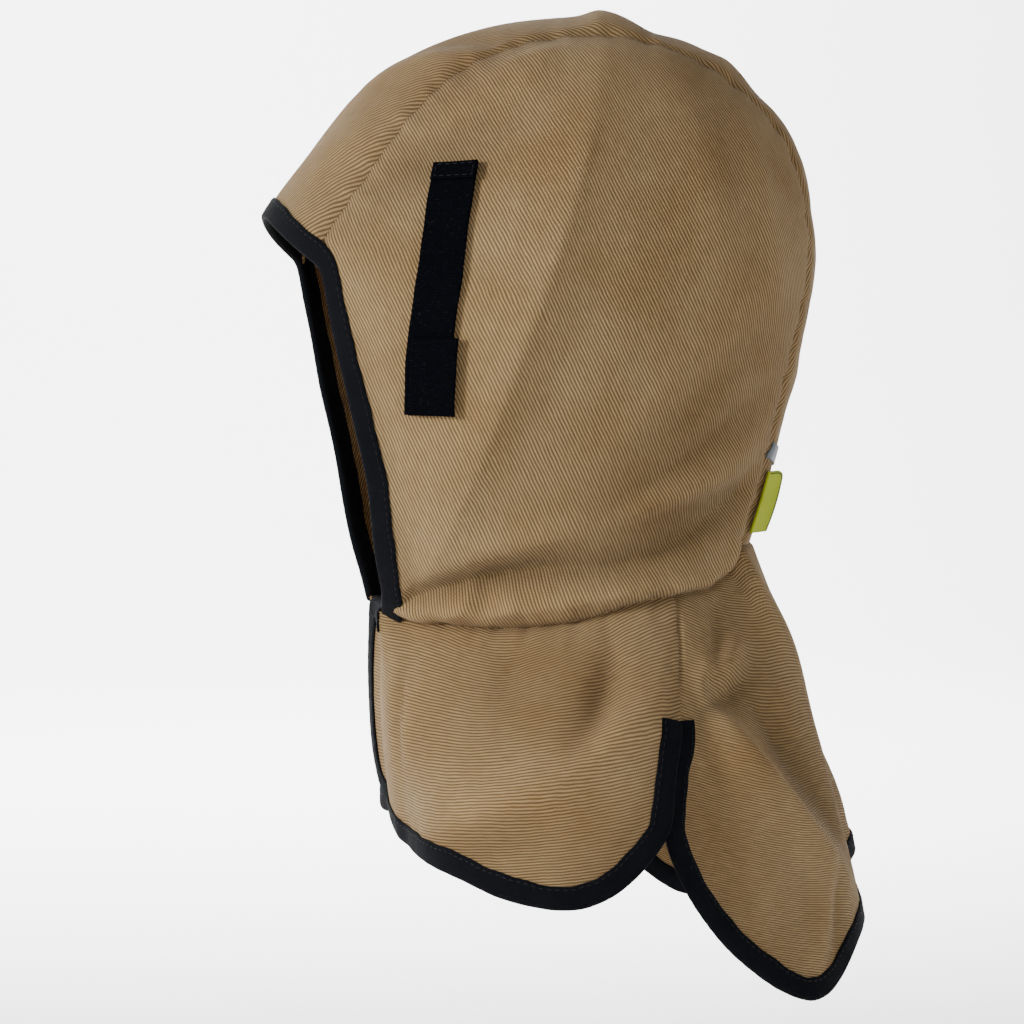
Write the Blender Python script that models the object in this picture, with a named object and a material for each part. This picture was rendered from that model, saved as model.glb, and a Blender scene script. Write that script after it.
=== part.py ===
"""A welding hood of cotton twill: a three-panel crown, a split neck cape, black tape and temple straps.

Metres, +Z up. The wearer faces -Y, so the wearer's left side is at +X. The origin is the inside of
the crown's top, where the hood sits on the head.
"""

import math

import bpy
import numpy as np
from mathutils import Vector
from mathutils.bvhtree import BVHTree

for existing in list(bpy.data.objects):
    bpy.data.objects.remove(existing, do_unlink=True)

# Cloth and tape
CLOTH = 0.0015
TAPE_WIDTH = 0.0085
TAPE_THICKNESS = 0.001
GAP = 0.0003
SEAM_GAP = 0.0005
NECK_GAP = 0.0009

# Crown, inside sizes from the dome's centre
CROWN_HALF_WIDTH = 0.0865
CROWN_RISE = 0.1278
CROWN_DROP = 0.1715
CROWN_FRONT = 0.121
CROWN_BACK = 0.1045
CROWN_SQUARENESS = 2.1
CENTRE_BEHIND_FACE = -0.013
STRIP_HALF_WIDTH = 0.033
BROW_ARCH = 0.098
PANEL_FOLD = 0.004

# Cape
CAPE_REACH = 0.128
NECK_SETBACK = 0.003
FRONT_DROP = 0.1085
BACK_DROP = 0.169
SLIT_DROP = 0.0475
THROAT_HOLLOW = 0.007
LAP_LIFT = 0.0054
LAP_FADE = 0.02
CAPE_FOLD = 0.004
FLARE = 0.014
FLARE_RISE = 0.022

# Straps, band, tag and label
STRAP_WIDTH = 0.0172
STRAP_LENGTH = 0.1010
STRAP_THICKNESS = 0.0015
STRAP_TAB_LENGTH = 0.031
STRAP_CLEARANCE = 0.0005
STRAP_FORWARD = 0.0535
STRAP_RISE = 0.0665
STRAP_LEAN = 0.012
STRAP_TAB_START = 0.02
STRAP_TAB_REACH = 0.96
BAND_HEIGHT = 0.0075
BAND_THICKNESS = 0.001
BAND_BELOW_CENTRE = 0.058
BAND_SIDE_GAP = 0.002
TAG_WIDTH = 0.0115
TAG_HEIGHT = 0.032
TAG_THICKNESS = 0.0012
TAG_BELOW_CENTRE = 0.0675
TAG_TURN = 46.0
LABEL_WIDTH = 0.018
LABEL_HEIGHT = 0.022
LABEL_THICKNESS = 0.001
LABEL_ANGLE = 196.0
LABEL_DROP = 0.104
LABEL_CLEARANCE = 0.0012
PATCH_WIDTH = 0.0145
PATCH_HEIGHT = 0.026
PATCH_THICKNESS = 0.0012
PATCH_DROP = 0.035
PATCH_CLEARANCE = 0.0006
PATCH_FROM_EDGE = 0.0102

# The crown's side outline: angle from straight back, rising over the top, and the reach in that
# direction as a share of an ellipse through the four named sizes.
CROWN_OUTLINE = (
    (0, 1.002), (20, 1.087), (40, 1.124), (60, 1.075), (75, 1.033), (90, 1.000), (105, 1.001),
    (120, 1.017), (135, 1.026), (148, 1.039), (156.5, 1.073), (160.5, 1.092), (165, 1.081),
    (172, 1.035), (180, 1.000), (200, 1.038), (223, 1.060), (240, 0.989), (250, 0.971),
    (270, 1.000), (290, 0.980), (311, 0.945), (329, 0.934), (345, 0.956),
)

# Half-width of the centre strip by the same angle, as a share of STRIP_HALF_WIDTH.
STRIP_OUTLINE = (
    (-60, 1.10), (-53, 1.12), (-30, 1.14), (0, 1.15), (20, 1.08), (35, 1.00), (70, 0.95),
    (100, 1.02), (112, 1.15), (124, 1.31), (136, 1.42), (150, 1.46), (164.5, 1.48), (170, 1.48),
)
STRIP_BROW_ANGLE = 160.3
STRIP_BROW_FALL = 6.4
STRIP_NAPE_ANGLE = -48.9
STRIP_NAPE_RISE = -4.1

# Edges of the side panel seen from the side: forward share of CROWN_FRONT, drop share of CROWN_DROP.
FACE_EDGE = (
    (0.900, -0.100), (0.879, -0.063), (0.840, 0.023), (0.799, 0.167), (0.735, 0.360),
    (0.694, 0.559), (0.661, 0.658),
)
THROAT_CORNER = (0.653, 0.700)
NECK_SEAM = (
    (0.615, 0.713), (0.438, 0.726), (0.256, 0.729), (0.016, 0.706), (-0.198, 0.665),
    (-0.339, 0.653), (-0.480, 0.640), (-0.560, 0.600),
)

# Folds of the side panel: start, bend and end as the edges above, half-width as a share of
# CROWN_HALF_WIDTH, height as a share of PANEL_FOLD.
SIDE_FOLDS = (
    (0.06, -0.60, 0.12, -0.10, 0.56, 0.56, 0.19, 0.80),
    (0.04, -0.55, 0.30, -0.42, 0.80, -0.36, 0.11, -0.50),
    (0.62, 0.66, 0.20, 0.55, -0.50, 0.36, 0.12, -0.95),
    (0.50, 0.66, 0.10, 0.64, -0.30, 0.56, 0.09, 0.80),
    (-0.10, 0.50, -0.40, 0.25, -0.62, -0.02, 0.10, 0.45),
)

# The cape's flare: angle round the neck from the throat, then the reach at five even depths down
# to BACK_DROP, as shares of CAPE_REACH. The first column of reach is left to the neck seam itself.
CAPE_FLARE = (
    (0, 0.590, 0.560, 0.490, 0.440),
    (30, 0.680, 0.660, 0.605, 0.555),
    (57, 0.740, 0.850, 0.930, 0.985),
    (80, 0.730, 0.900, 1.055, 1.170),
    (95, 0.715, 0.855, 0.965, 1.040),
    (115, 0.700, 0.810, 0.885, 0.930),
    (135, 0.725, 0.835, 0.915, 0.985),
    (160, 0.745, 0.855, 0.940, 1.005),
    (180, 0.712, 0.832, 0.930, 1.000),
)
SEAM_ANGLE = 122.0
SLIT_ANGLE = 109.5
LAP_ANGLE = -14.0

# Angles at which the lobes leave the plain cape surface, and over how many degrees they ease into it
FRONT_SLIT_START = 82.0
FRONT_SLIT_EASE = 16.0
BACK_SLIT_START = 54.0
BACK_SLIT_EASE = 12.0
LAP_END = 24.5
LAP_END_WIDENS = 9.5
LAP_EASE = 8.0
LAP_EASE_WIDENS = 3.0
FLARE_START = 181.0
FLARE_START_EASE = 12.0
FLARE_END = 238.0
FLARE_END_EASE = 26.0

# Free edge of a front lobe from the slit to the throat: angle, drop as a share of FRONT_DROP.
FRONT_EDGE = (
    (108.4, 0.500), (106.2, 0.580), (104.0, 0.702), (102.0, 0.803), (98.0, 0.870), (92.7, 0.939),
    (84.3, 0.995), (70.0, 0.955), (57.0, 0.885), (31.6, 0.855), (12.0, 0.845), (-3.0, 0.800),
    (-11.0, 0.715), (-14.0, 0.600),
)

# Free edge of the back lobe from one slit to the middle: angle, drop as a share of BACK_DROP.
BACK_EDGE = (
    (109.0, 0.320), (106.0, 0.380), (103.8, 0.450), (102.8, 0.540), (105.0, 0.628), (111.5, 0.760),
    (121.0, 0.885), (128.0, 0.955), (135.0, 0.993), (143.0, 0.985), (150.0, 0.972), (160.0, 0.968),
    (170.0, 0.968),
)

# Folds of the cape: start, bend and end as angle and share of BACK_DROP, half-width in degrees,
# height as a share of CAPE_FOLD.
FRONT_FOLDS = (
    (109, 0.20, 84, 0.34, 52, 0.47, 9.0, 0.90),
    (92, 0.08, 90, 0.20, 84, 0.30, 6.0, -0.55),
    (70, 0.50, 60, 0.54, 40, 0.52, 9.0, -0.40),
)
BACK_FOLDS = (
    (118, 0.24, 133, 0.48, 160, 0.80, 7.0, 0.95),
    (136, 0.30, 150, 0.50, 168, 0.74, 6.0, -0.80),
    (150, 0.06, 158, 0.22, 172, 0.40, 7.0, 0.50),
)

# How finely each panel is divided
SEAM_STATIONS = 30
NECK_STATIONS = 12
FACE_STATIONS = 13
SIDE_RINGS = 8
STRIP_COLUMNS = 6
LOBE_RINGS = 6
BACK_RINGS = 7
STRAP_STATIONS = 9
FACE_FOOT_SHARE = 0.16

# Step for reading slopes, and how far inside a wall a laid piece starts to look for it
PROBE = 1e-5
SEARCH = 0.02


def smooth_step(value):
    """0 below 0, 1 above 1 and an even ease between."""
    value = np.clip(value, 0.0, 1.0)
    return value * value * (3.0 - 2.0 * value)


def read_curve(knots, values, at):
    """A smooth curve through rows of values, read at the places asked for."""
    knots = np.asarray(knots, float)
    values = np.asarray(values, float)
    slopes = np.gradient(values, knots)
    at = np.clip(np.asarray(at, float), knots[0], knots[-1])
    row = np.clip(np.searchsorted(knots, at) - 1, 0, len(knots) - 2)
    span = knots[row + 1] - knots[row]
    t = (at - knots[row]) / span
    start = values[row] * (1 + 2 * t) * (1 - t) ** 2 + slopes[row] * span * t * (1 - t) ** 2
    end = values[row + 1] * t * t * (3 - 2 * t) - slopes[row + 1] * span * t * t * (1 - t)
    return start + end


def trace(points, count):
    """Evenly spaced points along a smooth curve through the points given."""
    points = np.asarray(points, float)
    steps = np.linalg.norm(np.diff(points, axis=0), axis=1)
    knots = np.concatenate(([0.0], np.cumsum(steps)))
    fine_at = np.linspace(0.0, knots[-1], 400)
    fine = np.stack([read_curve(knots, points[:, k], fine_at) for k in range(points.shape[1])], 1)
    length = np.concatenate(([0.0], np.cumsum(np.linalg.norm(np.diff(fine, axis=0), axis=1))))
    even = np.linspace(0.0, length[-1], count)
    return np.stack([np.interp(even, length, fine[:, k]) for k in range(points.shape[1])], 1)


def fold_height(places, folds, size, share):
    """Sum of the folds at each place, each a ridge or valley along a bent line that fades out."""
    total = np.zeros(len(places))
    along = np.linspace(0.0, 1.0, 21)[:, None]
    for row in folds:
        start, bend, end = np.array(row[0:2]), np.array(row[2:4]), np.array(row[4:6])
        line = start * (1 - along) ** 2 + 2 * bend * along * (1 - along) + end * along ** 2
        away = np.linalg.norm((places[:, None] - line[None]) * size, axis=2)
        nearest = away.argmin(axis=1)
        fade = np.sin(math.pi * np.clip(0.12 + 0.76 * along[nearest, 0], 0.0, 1.0))
        total += row[7] * fade * np.exp(-((away.min(axis=1) / (row[6] * share)) ** 2))
    return total


# The crown's surface

def crown_reach(angle):
    """Inside reach of the crown's middle line from the dome's centre."""
    angle = np.mod(np.asarray(angle, float) + 90.0, 360.0) - 90.0
    turn = np.radians(angle)
    length = np.where(np.cos(turn) > 0, CROWN_BACK, CROWN_FRONT)
    height = np.where(np.sin(turn) > 0, CROWN_RISE, CROWN_DROP)
    ellipse = 1.0 / np.sqrt((np.cos(turn) / length) ** 2 + (np.sin(turn) / height) ** 2)
    rows = np.array(CROWN_OUTLINE)
    rows = np.concatenate((rows - (360, 0), rows, rows + (360, 0)))
    return ellipse * read_curve(rows[:, 0], rows[:, 1], angle)


def from_centre(places):
    """Angle and distance from the dome's centre of places given as y and z."""
    back = places[:, 0] - CENTRE_BEHIND_FACE
    up = places[:, 1] + CROWN_RISE
    return np.degrees(np.arctan2(up, back)), np.hypot(back, up)


def crown_level(points):
    """How far out a point lies, 0 on the crown's inside surface."""
    angle, distance = from_centre(points[:, 1:])
    side = np.abs(points[:, 0]) / CROWN_HALF_WIDTH
    along = distance / crown_reach(angle)
    return side ** CROWN_SQUARENESS + along ** CROWN_SQUARENESS - 1.0


def gradient(level, points):
    """Unit direction in which a level rises fastest."""
    slopes = []
    for axis in range(3):
        step = np.zeros(3)
        step[axis] = PROBE
        slopes.append(level(points + step) - level(points - step))
    slopes = np.stack(slopes, 1)
    return slopes / np.linalg.norm(slopes, axis=1)[:, None]


def crown_side(places):
    """Inside points of the left side wall over places given as y and z."""
    angle, distance = from_centre(places)
    along = np.clip(distance / crown_reach(angle), 0.0, 0.999)
    across = CROWN_HALF_WIDTH * (1.0 - along ** CROWN_SQUARENESS) ** (1.0 / CROWN_SQUARENESS)
    return np.column_stack((across, places))


def crown_over(angle, across):
    """Inside points over the top, from the angle and the distance from the middle."""
    share = (np.abs(across) / CROWN_HALF_WIDTH) ** CROWN_SQUARENESS
    distance = crown_reach(angle) * (1.0 - share) ** (1.0 / CROWN_SQUARENESS)
    turn = np.radians(angle)
    back = CENTRE_BEHIND_FACE + distance * np.cos(turn)
    up = -CROWN_RISE + distance * np.sin(turn)
    return np.column_stack((across, back, up))


def strip_half_width(angle):
    rows = np.array(STRIP_OUTLINE)
    brow = BROW_ARCH / 2 - STRIP_HALF_WIDTH * STRIP_OUTLINE[-2][1]
    share = smooth_step((np.asarray(angle) - 120.0) / 45.0)
    return STRIP_HALF_WIDTH * read_curve(rows[:, 0], rows[:, 1], angle) + brow * share


def place_from_shares(rows):
    """y and z of rows of forward and drop shares."""
    rows = np.asarray(rows, float)
    return np.column_stack((CENTRE_BEHIND_FACE - rows[:, 0] * CROWN_FRONT,
                            -CROWN_RISE - rows[:, 1] * CROWN_DROP))


def strip_end_angle(across, brow):
    """Angle at which the centre strip ends, at the brow or at the nape."""
    part = np.abs(across) / strip_half_width(160.0 if brow else -50.0)
    if brow:
        return STRIP_BROW_ANGLE + STRIP_BROW_FALL * part ** 2
    return STRIP_NAPE_ANGLE + STRIP_NAPE_RISE * part ** 2


BROW_CORNER_ANGLE = STRIP_BROW_ANGLE + STRIP_BROW_FALL
NAPE_CORNER_ANGLE = STRIP_NAPE_ANGLE + STRIP_NAPE_RISE
seam_angles = np.linspace(BROW_CORNER_ANGLE, NAPE_CORNER_ANGLE, SEAM_STATIONS)


def seam_points(inset):
    """The seam between side panel and centre strip, moved by an inset away from the middle."""
    return crown_over(seam_angles, strip_half_width(seam_angles) + inset)


NECK_MIDDLE = CENTRE_BEHIND_FACE + NECK_SETBACK

# Outline of the left side panel as y and z, in order round its edge
over_seam = seam_points(SEAM_GAP / 2)[:, 1:]
neck_line = np.concatenate((over_seam[-1:], place_from_shares(NECK_SEAM)[::-1],
                            place_from_shares([THROAT_CORNER])))
face_line = np.concatenate((place_from_shares([THROAT_CORNER]), place_from_shares(FACE_EDGE)[::-1]))
neck_places = trace(neck_line, NECK_STATIONS)
face_line[-1] = over_seam[0]
face_places = trace(face_line, FACE_STATIONS - 1)
face_foot = face_places[0] + (face_places[1] - face_places[0]) * FACE_FOOT_SHARE
face_places = np.insert(face_places, 1, face_foot, axis=0)
neck_ring = crown_side(trace(neck_line, 80))


def neck_seam_at(angle):
    """Inside reach and height of the neck seam at an angle round the neck from the throat."""
    angle = np.asarray(angle, float)
    ring_angle = np.degrees(np.arctan2(neck_ring[:, 0], -(neck_ring[:, 1] - NECK_MIDDLE)))
    order = np.argsort(ring_angle)
    ring_angle = ring_angle[order]
    reach = np.hypot(neck_ring[:, 0], neck_ring[:, 1] - NECK_MIDDLE)[order]
    height = neck_ring[order, 2]
    nape = crown_over(np.array([STRIP_NAPE_ANGLE]), np.array([0.0]))[0]
    corner = neck_ring[-1]
    part = np.linspace(0.0, 0.9, 6)
    throat_x = corner[0] * part
    throat_y = NECK_MIDDLE - corner[1] - THROAT_HOLLOW * (1.0 - part ** 2)
    throat_angle = np.degrees(np.arctan2(throat_x, throat_y))
    knots = np.concatenate((throat_angle, ring_angle, [180.0]))
    reach = np.concatenate((np.hypot(throat_x, throat_y), reach, [nape[1] - NECK_MIDDLE]))
    height = np.concatenate((np.full(6, corner[2]), height, [nape[2]]))
    turned = np.abs(np.mod(angle + 180.0, 360.0) - 180.0)
    return np.interp(turned, knots, reach), np.interp(turned, knots, height)


def far_side(angle):
    """Share of the flare where the back lobe kicks out, right of the middle."""
    begin = smooth_step((angle - FLARE_START) / FLARE_START_EASE)
    return begin * smooth_step((FLARE_END - angle) / FLARE_END_EASE)


def cape_surface(places, lift):
    """Inside points of the cape at places given as angle round the neck and drop from the seam."""
    angle, drop = places[:, 0], places[:, 1]
    reach_top, height_top = neck_seam_at(angle)
    turned = np.abs(np.mod(angle + 180.0, 360.0) - 180.0)
    rows = np.array(CAPE_FLARE)
    levels = [reach_top]
    for column in range(1, rows.shape[1]):
        levels.append(CAPE_REACH * read_curve(rows[:, 0], rows[:, column], turned))
    levels = np.stack(levels, 1)
    depth = np.clip(drop / BACK_DROP, -0.05, 1.2) * (levels.shape[1] - 1)
    step = np.clip(np.floor(depth).astype(int), 0, levels.shape[1] - 2)
    part = depth - step
    index = np.arange(len(drop))
    low = levels[index, np.clip(step - 1, 0, None)]
    here = levels[index, step]
    there = levels[index, step + 1]
    high = levels[index, np.clip(step + 2, None, levels.shape[1] - 1)]
    slope_here = np.where(step > 0, (there - low) / 2, there - here)
    slope_there = np.where(step < levels.shape[1] - 2, (high - here) / 2, there - here)
    reach = (here * (1 + 2 * part) * (1 - part) ** 2 + slope_here * part * (1 - part) ** 2
             + there * part ** 2 * (3 - 2 * part) - slope_there * part ** 2 * (1 - part))
    reach = reach + FLARE * far_side(angle) * smooth_step((drop / BACK_DROP - 0.30) / 0.45)
    reach = reach + lift(angle, drop)
    turn = np.radians(angle)
    return np.column_stack((reach * np.sin(turn), NECK_MIDDLE - reach * np.cos(turn),
                            height_top - drop))


def cape_normals(places, lift):
    """Outward unit directions of the cape at the same places."""
    wider = np.array((0.05, 0.0))
    lower = np.array((0.0, PROBE * 10))
    around = cape_surface(places + wider, lift) - cape_surface(places - wider, lift)
    down = cape_surface(places + lower, lift) - cape_surface(places - lower, lift)
    normals = np.cross(down, around)
    return normals / np.linalg.norm(normals, axis=1)[:, None]


def slit_share(drop):
    return smooth_step((drop / SLIT_DROP - 0.70) / 0.36)


def front_lift(side):
    """Radial shift of a front lobe: out over the back lobe, and out or in at the throat lap."""
    def lift(angle, drop):
        at_slit = smooth_step((angle - FRONT_SLIT_START) / FRONT_SLIT_EASE) * slit_share(drop)
        below = smooth_step(drop / LAP_FADE)
        end = LAP_END + LAP_END_WIDENS * below
        at_throat = smooth_step((end - angle) / (LAP_EASE + LAP_EASE_WIDENS * below))
        return LAP_LIFT / 2 * (at_slit + side * at_throat)
    return lift


def back_lift(angle, drop):
    near_edge = smooth_step((np.abs(angle - 180.0) - BACK_SLIT_START) / BACK_SLIT_EASE)
    return -LAP_LIFT / 2 * near_edge * slit_share(drop)


# Panels: rings of stations shrink from the outline to a middle point

def ring_places(outline, middle, rings, scale, width):
    """Rings of places. The second ring lies one tape width inside the first."""
    to_edge = (outline - middle) * scale
    distance = np.linalg.norm(to_edge, axis=1)
    tangent = (np.roll(outline, -1, axis=0) - np.roll(outline, 1, axis=0)) * scale
    tangent /= np.linalg.norm(tangent, axis=1)[:, None]
    facing = np.abs(to_edge[:, 0] * tangent[:, 1] - to_edge[:, 1] * tangent[:, 0]) / distance
    inner = 1.0 - width / (distance * np.clip(facing, 0.55, 1.0))
    shares = [np.ones(len(outline)), inner]
    for ring in range(1, rings - 1):
        shares.append(inner * (1.0 - ring / (rings - 1)))
    return shares, [middle + (outline - middle) * share[:, None] for share in shares]


def add_mesh(name, vertices, faces, colour, roughness):
    mesh = bpy.data.meshes.new(name)
    mesh.from_pydata([tuple(map(float, v)) for v in vertices], [], faces)
    mesh.validate()
    piece = bpy.data.objects.new(name, mesh)
    bpy.context.collection.objects.link(piece)
    material = bpy.data.materials.new(name)
    material.use_nodes = True
    shader = material.node_tree.nodes["Principled BSDF"]
    shader.inputs["Base Color"].default_value = (*colour, 1.0)
    shader.inputs["Roughness"].default_value = roughness
    shader.inputs["Metallic"].default_value = 0.0
    mesh.materials.append(material)
    mesh.shade_smooth()
    mesh.set_sharp_from_angle(angle=math.radians(40))
    return piece


def facing_out(vertices, faces):
    """The faces, turned over together where they point in."""
    vertices = np.asarray(vertices)
    volume = 0.0
    for face in faces:
        first = vertices[face[0]]
        for k in range(1, len(face) - 1):
            volume += np.dot(first, np.cross(vertices[face[k]], vertices[face[k + 1]]))
    return faces if volume > 0 else [tuple(reversed(face)) for face in faces]


def add_ringed_panel(name, inside, directions, middle_inside, middle_direction, colour, roughness):
    """A cloth panel from rings of inside points and the directions in which its wall is built."""
    rings, rays = len(inside), len(inside[0])
    middle_outside = middle_inside + middle_direction * CLOTH
    vertices = np.concatenate(inside + [middle_inside[None]]
                              + [p + d * CLOTH for p, d in zip(inside, directions)]
                              + [middle_outside[None]])
    outer = rings * rays + 1
    faces = []
    for ray in range(rays):
        after = (ray + 1) % rays
        for ring in range(rings - 1):
            a, b = ring * rays + ray, ring * rays + after
            c, d = b + rays, a + rays
            faces.append((a, b, c, d))
            faces.append((d + outer, c + outer, b + outer, a + outer))
        last = (rings - 1) * rays
        faces.append((last + ray, last + after, rings * rays))
        faces.append((rings * rays + outer, last + after + outer, last + ray + outer))
        faces.append((ray + outer, after + outer, after, ray))
    return add_mesh(name, vertices, facing_out(vertices, faces), colour, roughness)


def add_grid_solid(name, inside, directions, thickness, colour, roughness):
    """A thin solid over a grid of inside points, rows by columns."""
    rows, columns = inside.shape[:2]
    flat = inside.reshape(-1, 3)
    vertices = np.concatenate((flat, flat + directions.reshape(-1, 3) * thickness))
    outer = rows * columns
    faces = []
    for r in range(rows - 1):
        for c in range(columns - 1):
            a = r * columns + c
            faces.append((a, a + 1, a + columns + 1, a + columns))
            faces.append((a + columns + outer, a + columns + 1 + outer, a + 1 + outer, a + outer))
    rim = [c for c in range(columns)]
    rim += [r * columns + columns - 1 for r in range(1, rows)]
    rim += [(rows - 1) * columns + c for c in range(columns - 2, -1, -1)]
    rim += [r * columns for r in range(rows - 2, 0, -1)]
    for k, a in enumerate(rim):
        b = rim[(k + 1) % len(rim)]
        faces.append((b, a, a + outer, b + outer))
    return add_mesh(name, vertices, facing_out(vertices, faces), colour, roughness)


def add_binding(name, edge, inner, edge_out, inner_out):
    """Tape folded over a cloth edge: a U section at each station, closed at both ends."""
    shift = (edge - inner) / TAPE_WIDTH
    near, far = GAP, GAP + TAPE_THICKNESS
    loops = np.stack((
        inner + inner_out * (CLOTH + near),
        edge + shift * near + edge_out * (CLOTH + near),
        edge + shift * near - edge_out * near,
        inner - inner_out * near,
        inner - inner_out * far,
        edge + shift * near - edge_out * far,
        edge + shift * far + edge_out * CLOTH / 2,
        edge + shift * near + edge_out * (CLOTH + far),
        inner + inner_out * (CLOTH + far),
    ), 1)
    stations, corners = loops.shape[:2]
    faces = []
    for s in range(stations - 1):
        for c in range(corners):
            d = (c + 1) % corners
            a = s * corners
            faces.append((a + c, a + d, a + corners + d, a + corners + c))
    for s, order in ((0, -1), (stations - 1, 1)):
        a = s * corners
        for cap in ((0, 1, 7, 8), (1, 2, 6, 7), (2, 3, 4, 5), (2, 5, 6)):
            faces.append(tuple(a + c for c in cap[::order]))
    vertices = loops.reshape(-1, 3)
    return add_mesh(name, vertices, facing_out(vertices, faces), TAPE_COLOUR, 0.9)


def add_under(name, cloth, shell, columns, thickness, clearance, colour, roughness):
    """A thin piece that lies against the inside of a cloth wall, over a grid of its points."""
    points, directions = shell
    wall = cloth.data
    wall.calc_loop_triangles()
    tree = BVHTree.FromPolygons([vertex.co for vertex in wall.vertices],
                                [tuple(face.vertices) for face in wall.loop_triangles])
    laid = []
    for point, direction in zip(points, directions):
        start = Vector(point - direction * SEARCH)
        hit = tree.ray_cast(start, Vector(direction))[0]
        laid.append(point if hit is None else np.array(hit))
    inside = np.array(laid) - directions * (clearance + thickness)
    return add_grid_solid(name, inside.reshape(-1, columns, 3),
                          directions.reshape(-1, columns, 3), thickness, colour, roughness)


TWILL_COLOUR = (0.44, 0.31, 0.16)
TAPE_COLOUR = (0.006, 0.007, 0.010)
STRAP_COLOUR = (0.008, 0.009, 0.013)
BAND_COLOUR = (0.20, 0.21, 0.22)
TAG_COLOUR = (0.50, 0.58, 0.02)
LABEL_COLOUR = (0.66, 0.67, 0.68)
MIRROR = np.array((-1.0, 1.0, 1.0))


def level_out(points):
    """Horizontal directions away from the neck's middle line."""
    away = points - np.array((0.0, NECK_MIDDLE, 0.0))
    away[:, 2] = 0.0
    return away / np.linalg.norm(away, axis=1)[:, None]


# Side panels

def side_fold(places, share):
    """Height of the side panel's folds, which die out at its seams and its bound edge."""
    scaled = np.column_stack(((CENTRE_BEHIND_FACE - places[:, 0]) / CROWN_FRONT,
                              (-CROWN_RISE - places[:, 1]) / CROWN_DROP))
    size = np.array((CROWN_FRONT, CROWN_DROP))
    height = fold_height(scaled, SIDE_FOLDS, size, CROWN_HALF_WIDTH)
    return PANEL_FOLD * height * smooth_step((1.0 - share) / 0.14)


side_outline = np.concatenate((over_seam[:-1], neck_places[:-1], face_places[:-1]))
side_middle = np.array((CENTRE_BEHIND_FACE, -CROWN_RISE - 0.13 * CROWN_DROP))
side_shares, side_rings = ring_places(side_outline, side_middle, SIDE_RINGS,
                                      np.array((1.0, 1.0)), TAPE_WIDTH)
first_neck = SEAM_STATIONS - 1
last_neck = first_neck + NECK_STATIONS - 1
side_inside = []
side_out = []
for number, (share, ring) in enumerate(zip(side_shares, side_rings)):
    points = crown_side(ring)
    out = gradient(crown_level, points)
    if number == 0:
        on_neck = slice(first_neck, last_neck + 1)
        out[on_neck] = level_out(points[on_neck])
    side_inside.append(points + out * side_fold(ring, share)[:, None])
    side_out.append(out)
middle_point = crown_side(side_middle[None])
middle_out = gradient(crown_level, middle_point)
middle_point = middle_point + middle_out * side_fold(side_middle[None], np.zeros(1))[:, None]

for side, flip in (("left", np.ones(3)), ("right", MIRROR)):
    add_ringed_panel("side_panel_" + side, [p * flip for p in side_inside],
                     [d * flip for d in side_out], middle_point[0] * flip, middle_out[0] * flip,
                     TWILL_COLOUR, 0.9)

# Centre strip, station by station along its seams

strip_columns = np.linspace(-1.0, 1.0, STRIP_COLUMNS + 1)
strip_shares = (seam_angles - NAPE_CORNER_ANGLE) / (BROW_CORNER_ANGLE - NAPE_CORNER_ANGLE)
strip_inside = []
for share in strip_shares:
    seam_angle = NAPE_CORNER_ANGLE + share * (BROW_CORNER_ANGLE - NAPE_CORNER_ANGLE)
    across = strip_columns * (strip_half_width(seam_angle) - SEAM_GAP / 2)
    ends = (strip_end_angle(across, True), strip_end_angle(across, False))
    bend_brow = (ends[0] - BROW_CORNER_ANGLE) * smooth_step((share - 0.80) / 0.20)
    bend_nape = (ends[1] - NAPE_CORNER_ANGLE) * smooth_step((0.16 - share) / 0.16)
    strip_inside.append(crown_over(seam_angle + bend_brow + bend_nape, across))
strip_inside = np.array(strip_inside)
strip_out = gradient(crown_level, strip_inside.reshape(-1, 3)).reshape(strip_inside.shape)
strip_out[-1] = level_out(strip_inside[-1])
step_in = strip_inside[1] - strip_inside[0]
step_in /= np.linalg.norm(step_in, axis=1)[:, None]
strip_inside = np.insert(strip_inside, 1, strip_inside[0] + step_in * TAPE_WIDTH, axis=0)
strip_out = np.insert(strip_out, 1, strip_out[0], axis=0)
add_grid_solid("centre_panel", strip_inside, strip_out, CLOTH, TWILL_COLOUR, 0.9)

# Tape round the face opening: up the left side, over the brow and down the right

face_rays = [(last_neck + k) % len(side_outline) for k in range(1, FACE_STATIONS)]
face_edge = side_inside[0][face_rays]
face_inner = side_inside[1][face_rays]
face_edge_out = side_out[0][face_rays]
face_inner_out = side_out[1][face_rays]
brow_order = slice(None, None, -1)
add_binding(
    "face_binding",
    np.concatenate((face_edge, strip_inside[0][brow_order], face_edge[::-1] * MIRROR)),
    np.concatenate((face_inner, strip_inside[1][brow_order], face_inner[::-1] * MIRROR)),
    np.concatenate((face_edge_out, strip_out[0][brow_order], face_edge_out[::-1] * MIRROR)),
    np.concatenate((face_inner_out, strip_out[1][brow_order], face_inner_out[::-1] * MIRROR)),
)

# Front lobes of the cape

EDGE_SCALE = np.array((math.radians(1.0) * CAPE_REACH * 0.8, 1.0))
SEAM_GAP_ANGLE = math.degrees(SEAM_GAP / 2 / (CAPE_REACH * 0.6))


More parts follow.
